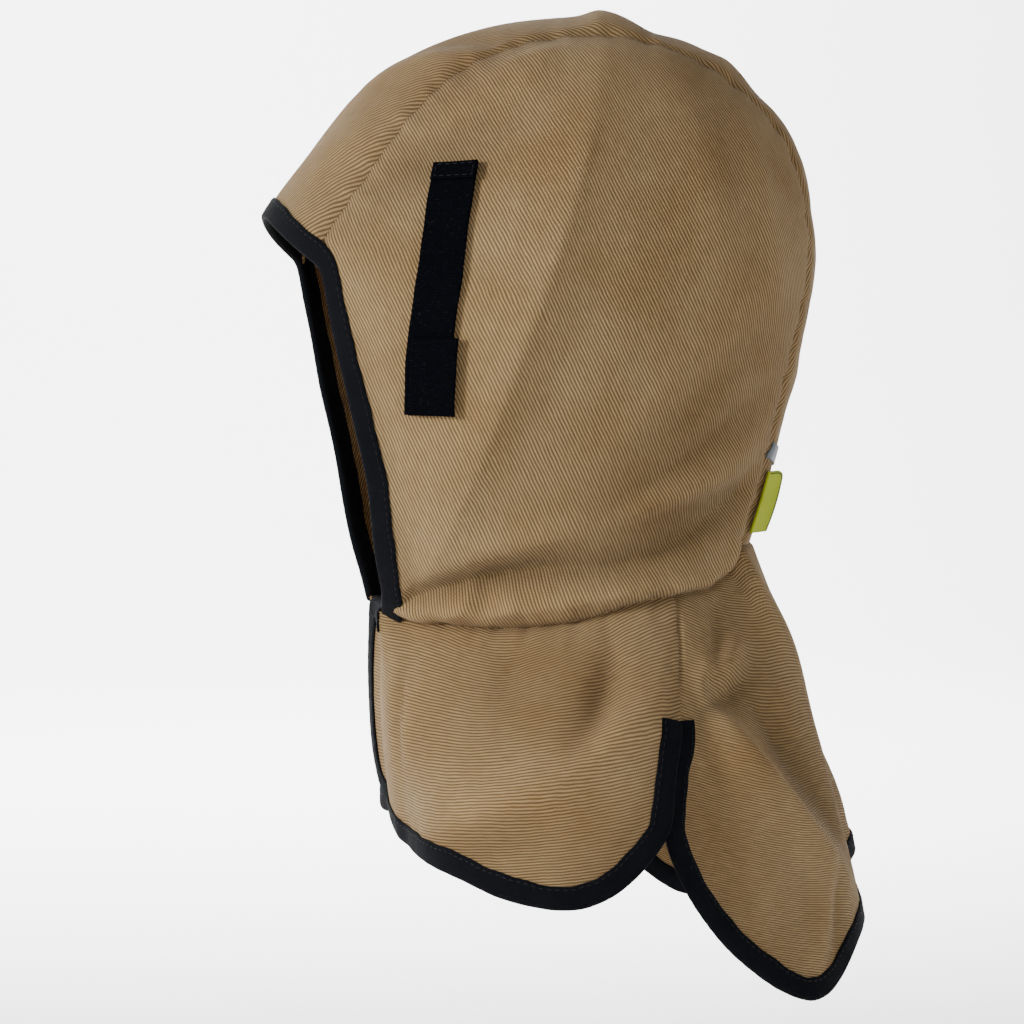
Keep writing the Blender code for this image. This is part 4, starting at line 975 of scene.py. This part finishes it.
def pile_finish(name, dark, light):
    """Loop tape: a nap of short loops in faint cross rows on a woven ground."""
    material, tree, shader, cloth, solid = start_material(name, 0.97, 0.0, 0.04)
    split = wire(tree, "ShaderNodeSeparateXYZ", {0: cloth})
    wander = calc(tree, "MULTIPLY", noise(tree, solid, 500.0, 3.0), 0.0006)
    rows = wave(tree, calc(tree, "ADD", split.outputs[1], wander), 0.00078)
    loops = noise(tree, solid, 2300.0, 3.0)
    nap = calc(tree, "MULTIPLY", calc(tree, "MULTIPLY_ADD", rows, 0.6, 0.4), loops)
    tone = blend(tree, nap, dark, light)
    lint = calc(tree, "MULTIPLY", calc(tree, "GREATER_THAN", noise(tree, solid, 700.0, 2.0), 0.69),
                0.4)
    colour = blend(tree, lint, tone, (0.030, 0.031, 0.036, 1.0))
    finish_material(tree, shader, colour, nap, 0.0005, 1.0)
    return material


front_twill = twill("front_twill", 2.0, 0.00125)
tan_thread = thread_finish("tan_thread", (0.34, 0.22, 0.10, 1.0))
black_pile = pile_finish("black_pile", (0.0004, 0.0006, 0.0012, 1.0), (0.0060, 0.0072, 0.0110, 1.0))
throat_angle = math.degrees(math.atan2(neck_ring[-1, 0], NECK_MIDDLE - neck_ring[-1, 1]))
throat_top = np.array(((LAP_ANGLE, 0.0), (throat_angle, 0.0)))
neck_top = np.array(((throat_angle, 0.0), (SEAM_ANGLE, 0.0)))
slit_seam = np.array(((SEAM_ANGLE, 0.0), (SLIT_ANGLE, SLIT_DROP)))
front_rows = np.concatenate((slit_seam[-1:], np.array(FRONT_EDGE) * (1.0, FRONT_DROP)))
front_free = trace(front_rows * CAPE_SCALE, 300) / CAPE_SCALE
front_side = np.array((front_free[-1], (LAP_ANGLE, 0.0)))
front_middle = np.array((58.0, FRONT_DROP * 0.5))


def on_front(places, clearance):
    """Points off the left front lobe's inside surface, and its directions."""
    out = cape_normals(places, front_lift(1.0))
    height = front_relief(places, np.full(len(places), INSIDE_GAP)) + clearance
    return cape_surface(places, front_lift(1.0)) + out * height[:, None], out


closure_row = even_points(np.array(CLOSURE_STITCHES) * (1.0, BACK_DROP), 24)
closure = add_stitches("closure_stitches", *on_front(closure_row, CLOTH + 0.0001), tan_thread,
                       "twill")
for side, sign in (("left", 1.0), ("right", -1.0)):
    flip = np.array((sign, 1.0, 1.0))
    lobe = add_lobe("front_cloth_" + side, (throat_top, neck_top, slit_seam, front_free, front_side),
                    front_middle, FRONT_RINGS, FRONT_RAYS, front_lift(sign), front_relief,
                    front_twill, flip)
    rows = cape_tape_rows(np.concatenate((front_free, front_side[1:], throat_top[1:])),
                          front_middle, front_lift(sign), front_relief)
    tape, line, line_out = add_tape("front_tape_" + side, *rows, flip)
    stitches = add_stitches("front_tape_stitches_" + side, line, line_out, black_thread, "tape")
    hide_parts("cape_front_" + side)
    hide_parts("front_binding_" + side)
degrees_per_metre = math.degrees(1.0 / (CAPE_REACH * CAPE_FLARE[0][1]))
patch_across, patch_down = np.meshgrid(np.linspace(0.0, PATCH_SIZE[0], 25),
                                       np.linspace(0.0, PATCH_SIZE[1], 40))
patch_places = np.column_stack((
    LAP_ANGLE + (PATCH_FROM_EDGE + patch_across.ravel()) * degrees_per_metre,
    PATCH_DROP + patch_down.ravel()))
patch_points, patch_out = on_front(patch_places, -PATCH_DEPTH - 0.0003)
patch = add_grid("closure_pad", patch_points.reshape(40, 25, 3), patch_out.reshape(40, 25, 3),
                 PATCH_DEPTH, np.stack((patch_across, patch_down), -1), black_pile)
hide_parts("closure_patch")


# The back lobe is one wide piece from slit to slit, its rib running down towards the hood's right.
# It hangs lower than the front and stands off in one long fold from each slit.

BACK_EDGE = (
    (109.0, 0.320), (106.0, 0.380), (103.8, 0.450), (102.8, 0.540), (105.0, 0.628), (111.5, 0.760),
    (121.0, 0.885), (128.0, 0.955), (135.0, 0.993), (143.0, 0.985), (150.0, 0.972), (160.0, 0.968),
    (170.0, 0.968),
)
BACK_FOLDS = (
    (116, 0.20, 131, 0.42, 154, 0.80, 0.016, 0.006, 0.0074, 0.6),
    (134, 0.26, 147, 0.46, 160, 0.76, 0.009, 0.007, -0.0060, 0.4),
    (150, 0.02, 158, 0.22, 170, 0.42, 0.012, 0.010, 0.0026, 0.3),
    (110, 0.27, 124, 0.27, 144, 0.20, 0.006, 0.005, -0.0044, 0.6),
    (116, 0.17, 128, 0.20, 140, 0.13, 0.006, 0.006, 0.0036, 0.4),
    (139, 0.01, 131, 0.13, 119, 0.24, 0.004, 0.005, -0.0024, 0.6),
    (136, 0.94, 140, 0.84, 145, 0.72, 0.006, 0.007, 0.0030, 0.3),
    (145, 0.92, 148, 0.84, 151, 0.74, 0.005, 0.005, -0.0024, 0.3),
    (118, 0.50, 126, 0.66, 132, 0.80, 0.010, 0.010, 0.0016, 0.2),
    (166, 0.20, 166, 0.50, 170, 0.86, 0.010, 0.012, -0.0016, 0.2),
)
HEM_RISE_FROM = 0.55
HEM_RISE_TO = 0.98
BACK_RAYS = 340
BACK_RINGS = 66


def back_lift(angle, drop):
    near_edge = smooth_step((np.abs(angle - 180.0) - 54.0) / 12.0)
    return -LAP_LIFT / 2 * near_edge * slit_share(drop)


def back_relief(places, gap):
    mirrored = places * (-1, 1) + (360, 0)
    height = fold_height(places / (1.0, BACK_DROP), BACK_FOLDS, FOLD_SCALE)
    height += 0.6 * fold_height(mirrored / (1.0, BACK_DROP), BACK_FOLDS, FOLD_SCALE)
    return height * smooth_step((gap - CAPE_PLAIN_EDGE) / CAPE_FADE) + cape_edges(places)


back_rows = np.concatenate((slit_seam[-1:], np.array(BACK_EDGE) * (1.0, BACK_DROP)))
back_whole = np.concatenate((back_rows * (-1, 1) + (360, 0), back_rows[::-1]))
low_share = smooth_step((back_whole[:, 1] / BACK_DROP - HEM_RISE_FROM)
                        / (HEM_RISE_TO - HEM_RISE_FROM))
back_whole[:, 1] -= FLARE_RISE * far_side(back_whole[:, 0]) * low_share
back_free = trace(back_whole * CAPE_SCALE, 500) / CAPE_SCALE
back_top = np.array(((SEAM_ANGLE, 0.0), (360 - SEAM_ANGLE, 0.0)))
back_middle = np.array((180.0, BACK_DROP * 0.56))
back_lobe = add_lobe("back_cloth", (back_top, slit_seam * (-1, 1) + (360, 0), back_free,
                                    slit_seam[::-1]),
                     back_middle, BACK_RINGS, BACK_RAYS, back_lift, back_relief,
                     twill("back_twill", -25.0, 0.00112), np.ones(3))
rows = cape_tape_rows(back_free, back_middle, back_lift, back_relief)
back_tape, line, line_out = add_tape("back_tape", *rows)
back_stitches = add_stitches("back_tape_stitches", line, line_out, black_thread, "tape")
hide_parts("cape_back")
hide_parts("back_binding")


# A strap of black loop tape is sewn to each temple by its top end and lies down the cloth. Its lower
# end is doubled by a second layer of hook tape, set a little further back.

STRAP_WIDTH = 0.0172
STRAP_LENGTH = 0.1010
STRAP_THICKNESS = 0.0014
STRAP_TAB_LENGTH = 0.031
STRAP_FORWARD = 0.0535
STRAP_RISE = 0.0665
STRAP_LEAN = 0.012
STRAP_HEM = 0.0072
STRAP_OFF_CLOTH = 0.0006
STRAP_LAYER = 0.0022
TAB_BACK = 0.0020
STRAP_FROM_SEAM = 0.06
STRAP_STEP = 0.0012
STRAP_CURL = 0.0002
BOX_INSET = 0.0013
BOX_POINTS = 60


def on_temple(down, across, extra):
    """Points off the side panel over a strap's length and width in metres, and directions."""
    lean = STRAP_LEAN * np.sin(math.pi / 2 * np.clip(down / STRAP_LENGTH, 0.0, 1.0))
    places = np.column_stack((CENTRE_BEHIND_FACE - STRAP_FORWARD - lean + across,
                              -CROWN_RISE + STRAP_RISE - down))
    flat = np.zeros(len(places))
    height = side_relief(places, np.full(len(places), STRAP_FROM_SEAM), flat, flat)
    plain = crown_side(places)
    out = crown_normals(plain)
    return plain + out * (height + CLOTH + extra)[:, None], out


def add_strap_layer(name, start, length, shift, extra, waver, flip):
    """One layer of strap, its sides very slightly wavy and its corners eased."""
    rows, columns = max(8, int(length / STRAP_STEP)), 17
    down = np.linspace(0.0, length, rows)
    across = np.linspace(-0.5, 0.5, columns)
    sides = 1.0 + waver * ripple(down, ((0.037, 1.0, 0.4), (0.016, 0.5, 1.2)))
    grid_down, grid_across = np.meshgrid(down, across, indexing="ij")
    grid_across = grid_across * STRAP_WIDTH * sides[:, None]
    curl = np.broadcast_to(extra + STRAP_CURL * (2 * np.abs(across)) ** 4, grid_down.shape)
    points, out = on_temple(start + grid_down.ravel(), shift + grid_across.ravel(), curl.ravel())
    uvs = np.stack((grid_across, grid_down), -1)
    return add_grid(name, points.reshape(rows, columns, 3) * flip,
                    out.reshape(rows, columns, 3) * flip, STRAP_THICKNESS, uvs, black_pile)


for side, sign in (("left", 1.0), ("right", -1.0)):
    flip = np.array((sign, 1.0, 1.0))
    strap = add_strap_layer("strap_cloth_" + side, 0.0, STRAP_LENGTH, 0.0, STRAP_OFF_CLOTH, 0.012,
                            flip)
    hem = add_strap_layer("strap_hem_" + side, 0.0002, STRAP_HEM, 0.0, STRAP_LAYER, 0.0, flip)
    tab = add_strap_layer("strap_tab_cloth_" + side, STRAP_LENGTH - STRAP_TAB_LENGTH,
                          STRAP_TAB_LENGTH, TAB_BACK, STRAP_LAYER, 0.010, flip)
    half = STRAP_WIDTH / 2 - BOX_INSET
    box_row = even_points(np.array((
        (0.0012, -half), (0.0012, half), (STRAP_HEM - 0.001, half), (STRAP_HEM - 0.001, -half),
        (0.0012, -half))), BOX_POINTS)
    points, out = on_temple(box_row[:, 0], box_row[:, 1],
                            np.full(BOX_POINTS, STRAP_LAYER + STRAP_THICKNESS + 0.0001))
    box = add_stitches("strap_stitches_" + side, points * flip, out * flip, black_thread, "strap")
    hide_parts("strap_" + side)
    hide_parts("strap_tab_" + side)


# A narrow grey-blue grosgrain ribbon crosses the nape between the two seams of the centre strip.
# It lies flat on the twill and is caught in the seam at either end.

BAND_HEIGHT = 0.0075
BAND_BELOW_CENTRE = 0.058
BAND_SIDE_GAP = 0.001
BAND_THICKNESS = 0.0006
nape_angles = np.linspace(-10.0, -50.0, 200)
nape_drops = -crown_over(nape_angles, np.zeros(200))[:, 2]


def nape_angle_at(drop):
    return np.interp(drop, nape_drops, nape_angles)


def ribbon_finish():
    """Grosgrain ribbon: close ribs across the band with a soft shine."""
    material, tree, shader, cloth, solid = start_material("grey_ribbon", 0.55, 0.15, 0.35)
    split = wire(tree, "ShaderNodeSeparateXYZ", {0: cloth})
    ribs = wave(tree, split.outputs[0], 0.0006)
    tone = blend(tree, ribs, (0.105, 0.120, 0.135, 1.0), (0.235, 0.255, 0.275, 1.0))
    uneven = calc(tree, "MULTIPLY_ADD", noise(tree, solid, 90.0, 3.0), 0.5, 0.75)
    finish_material(tree, shader, blend(tree, 1.0, tone, grey(tree, uneven), "MULTIPLY"), ribs,
                    0.00015)
    return material


band_down, band_part = np.meshgrid(np.linspace(-0.5, 0.5, 12), np.linspace(-1.0, 1.0, 80),
                                   indexing="ij")
band_angle = nape_angle_at(CROWN_RISE + BAND_BELOW_CENTRE + BAND_HEIGHT * band_down.ravel())
band_half = strip_half_width(band_angle) - BAND_SIDE_GAP
band_across = band_part.ravel() * band_half
band_plain = crown_over(band_angle, band_across)
band_out = crown_normals(band_plain)
band_height = strip_relief(band_angle, band_across / strip_half_width(band_angle))
band_points = band_plain + band_out * (band_height + CLOTH + 0.0002)[:, None]
band = add_grid("nape_ribbon", band_points.reshape(12, 80, 3), band_out.reshape(12, 80, 3),
                BAND_THICKNESS, np.stack((band_across, band_down.ravel() * BAND_HEIGHT), -1),
                ribbon_finish())
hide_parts("nape_band")


# A soft yellow-green tag is sewn into the left seam at the nape and stands off it. Its outer corners
# are round, and a thin dark green line is woven just inside its edge. It is left plain.

TAG_WIDTH = 0.0115
TAG_HEIGHT = 0.032
TAG_THICKNESS = 0.0011
TAG_BELOW_CENTRE = 0.0675
TAG_TURN = 46.0
TAG_CORNER = 0.0035
LINE_INSET = 0.0009
LINE_WIDTH = 0.00022
LINE_POINTS = 120
TAG_CUP = 0.0007


def tag_finish(name, colour, bright, ribs):
    """Close woven label cloth."""
    material, tree, shader, cloth, solid = start_material(name, 0.6, 0.08, 0.3)
    split = wire(tree, "ShaderNodeSeparateXYZ", {0: cloth})
    weave = calc(tree, "MULTIPLY", wave(tree, split.outputs[0], ribs),
                 wave(tree, split.outputs[1], ribs * 0.8))
    tone_scale = calc(tree, "MULTIPLY_ADD", noise(tree, solid, 150.0, 3.0), 0.3, 0.85)
    tone = blend(tree, 1.0, blend(tree, weave, colour, bright), grey(tree, tone_scale), "MULTIPLY")
    finish_material(tree, shader, tone, weave, 0.00010)
    return material


tag_drops = np.linspace(0.0, TAG_HEIGHT, 41)
tag_angles = nape_angle_at(CROWN_RISE + TAG_BELOW_CENTRE + tag_drops)
tag_root = crown_over(tag_angles, strip_half_width(tag_angles) - TAG_THICKNESS)
tag_root = tag_root + crown_normals(tag_root) * (CLOTH + 0.0006)
tag_turn = math.radians(TAG_TURN)
tag_run = np.array((-math.cos(tag_turn), math.sin(tag_turn), 0.0))
tag_out = np.cross(tag_run, tag_root[-1] - tag_root[0])
tag_out *= math.copysign(1.0, tag_out[0]) / np.linalg.norm(tag_out)
into_corner = np.clip(TAG_CORNER - np.minimum(tag_drops, TAG_HEIGHT - tag_drops), 0.0, None)
tag_reach = TAG_WIDTH - TAG_CORNER + np.sqrt(np.maximum(TAG_CORNER ** 2 - into_corner ** 2, 0.0))


def on_tag(reach, drop):
    """Points of the tag's inner face: a slight cup along its height."""
    root = np.stack([np.interp(drop, tag_drops, tag_root[:, k]) for k in range(3)], 1)
    cup = TAG_CUP * np.sin(math.pi * drop / TAG_HEIGHT) * (reach / TAG_WIDTH) ** 2
    return root + tag_run * reach[:, None] + tag_out * cup[:, None]


tag_part = np.linspace(0.0, 1.0, 15)
tag_grid_reach = (tag_reach[:, None] * tag_part).ravel()
tag_grid_drop = np.repeat(tag_drops, 15)
tag_points = on_tag(tag_grid_reach, tag_grid_drop)
tag = add_grid("nape_tag", tag_points.reshape(41, 15, 3),
               np.broadcast_to(tag_out, (41, 15, 3)), TAG_THICKNESS,
               np.column_stack((tag_grid_reach, tag_grid_drop)),
               tag_finish("tag_yellow", (0.400, 0.470, 0.006, 1.0), (0.620, 0.700, 0.014, 1.0), 0.0004))
tag_green = thread_finish("tag_green", (0.020, 0.090, 0.030, 1.0))
line_rows = np.column_stack((tag_reach, tag_drops))
line_rows = np.concatenate(([(0.0005, 0.0)], line_rows, [(0.0005, TAG_HEIGHT)]))
line_middle = np.array((TAG_WIDTH / 2, TAG_HEIGHT / 2))
line_shrink = 1.0 - LINE_INSET * 2 / np.array((TAG_WIDTH, TAG_HEIGHT))
line_rows = even_points(line_middle + (line_rows - line_middle) * line_shrink, LINE_POINTS)
line_away = unit(np.column_stack((np.gradient(line_rows[:, 1]), -np.gradient(line_rows[:, 0]))))
for face_name, lift_off in (("outer", TAG_THICKNESS + 0.00002), ("inner", -0.00012)):
    loops = []
    for step, raised in ((-1, 0.0), (1, 0.0), (1, 0.0001), (-1, 0.0001)):
        at = line_rows + line_away * LINE_WIDTH * step
        loops.append(on_tag(at[:, 0], at[:, 1]) + tag_out * (lift_off + raised))
    uvs = np.stack(np.broadcast_arrays(np.linspace(0, 0.08, LINE_POINTS)[:, None],
                                       np.array((0.0, 4e-4, 5e-4, 9e-4))[None]), -1)
    add_tube("tag_line_" + face_name, np.stack(loops, 1), uvs, tag_green)
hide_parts("side_tag")


# A plain white satin care label is sewn by its top edge inside the back lobe, near the flared hem.
# Its lower end hangs free and curls slightly inward.

LABEL_SIZE = (0.020, 0.024)
LABEL_ANGLE = 197.0
LABEL_DROP = 0.103
LABEL_THICKNESS = 0.0007
LABEL_CLEARANCE = 0.0006
LABEL_CURL = 0.0008
label_across, label_down = np.meshgrid(np.linspace(-0.5, 0.5, 30) * LABEL_SIZE[0],
                                       np.linspace(0.0, 1.0, 36) * LABEL_SIZE[1])
label_places = np.column_stack((LABEL_ANGLE + np.degrees(label_across.ravel() / CAPE_REACH),
                                LABEL_DROP + label_down.ravel()))
label_out = cape_normals(label_places, back_lift)
label_height = back_relief(label_places, np.full(len(label_places), INSIDE_GAP))
label_curl = LABEL_CURL * (label_down.ravel() / LABEL_SIZE[1]) ** 2
label_height -= LABEL_CLEARANCE + LABEL_THICKNESS + label_curl
label_points = cape_surface(label_places, back_lift) + label_out * label_height[:, None]
label = add_grid("white_label", label_points.reshape(36, 30, 3), label_out.reshape(36, 30, 3),
                 LABEL_THICKNESS, np.stack((label_across, label_down), -1),
                 tag_finish("label_satin", (0.56, 0.58, 0.60, 1.0), (0.80, 0.82, 0.84, 1.0), 0.0003))
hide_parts("care_label")


# The floor is a wide pale sheet of studio paper that sweeps up behind the hood. A soft lamp stands
# at the front left, a weaker one behind the camera, and one is aimed at the paper.

AIM = np.array((0.0, -0.0335, -0.2094))
PAPER_FLOOR = -0.62
PAPER_FRONT = 6.0
PAPER_TURN = -2.5
PAPER_RADIUS = 1.6
PAPER_TOP = 6.0
PAPER_HALF_WIDTH = 9.0
paper_material, tree, shader, cloth, solid = start_material("studio_paper", 0.85, 0.0, 0.1)
paper_tone = blend(tree, noise(tree, solid, 3.0), (0.86, 0.86, 0.86, 1.0), (0.89, 0.89, 0.89, 1.0))
finish_material(tree, shader, paper_tone, noise(tree, solid, 900.0), 0.0001, 0.2)
sweep = [(PAPER_FRONT, PAPER_FLOOR), (PAPER_TURN, PAPER_FLOOR)]
sweep += [(PAPER_TURN - PAPER_RADIUS * math.sin(turn),
           PAPER_FLOOR + PAPER_RADIUS * (1.0 - math.cos(turn))) for turn in np.linspace(0.05, 1.57, 24)]
sweep += [(PAPER_TURN - PAPER_RADIUS, PAPER_TOP)]
paper_mesh = bpy.data.meshes.new("studio_paper")
paper_mesh.from_pydata([(x, y, z) for x, z in sweep for y in (-PAPER_HALF_WIDTH, PAPER_HALF_WIDTH)], [],
                       [(2 * k, 2 * k + 1, 2 * k + 3, 2 * k + 2) for k in range(len(sweep) - 1)])
paper_mesh.uv_layers.new(name="cloth")
paper_mesh.materials.append(paper_material)
paper_mesh.shade_smooth()
paper = bpy.data.objects.new("studio_paper", paper_mesh)
bpy.context.collection.objects.link(paper)

world = bpy.data.worlds.new("studio")
world.use_nodes = True
world.node_tree.nodes["Background"].inputs["Color"].default_value = (0.97, 0.98, 1.0, 1.0)
world.node_tree.nodes["Background"].inputs["Strength"].default_value = 0.32
bpy.context.scene.world = world


def add_light(name, place, target, size, power):
    light = bpy.data.lights.new(name, "AREA")
    light.shape = "DISK"
    light.size = size
    light.energy = power
    lamp = bpy.data.objects.new(name, light)
    lamp.location = place
    back = np.asarray(place, float) - target
    lamp.rotation_euler = (math.atan2(math.hypot(back[0], back[1]), back[2]), 0.0,
                           math.atan2(back[1], back[0]) + math.pi / 2)
    bpy.context.collection.objects.link(lamp)


add_light("key", (0.95, -2.3, 0.45), AIM, 0.60, 58.0)
add_light("fill", (2.2, 1.9, 0.2), AIM, 1.6, 20.0)
add_light("paper_lamp", (-1.2, 0.0, 1.6), (PAPER_TURN - PAPER_RADIUS, 0.0, 0.4), 2.0, 600.0)

# The camera stands off the hood's left side, a little to the front and above the middle. Its long
# lens keeps the near and far edges at nearly one size.

AZIMUTH, ELEVATION, DISTANCE = math.radians(81.0), math.radians(5.0), 1.5
camera_data = bpy.data.cameras.new("camera")
camera_data.sensor_width = 36.0
camera_data.lens = 122.6
camera = bpy.data.objects.new("camera", camera_data)
away = np.array((math.cos(ELEVATION) * math.sin(AZIMUTH), -math.cos(ELEVATION) * math.cos(AZIMUTH),
                 math.sin(ELEVATION)))
camera.location = AIM + away * DISTANCE
camera.rotation_euler = (math.pi / 2 - ELEVATION, 0.0, AZIMUTH)
bpy.context.collection.objects.link(camera)
bpy.context.scene.camera = camera
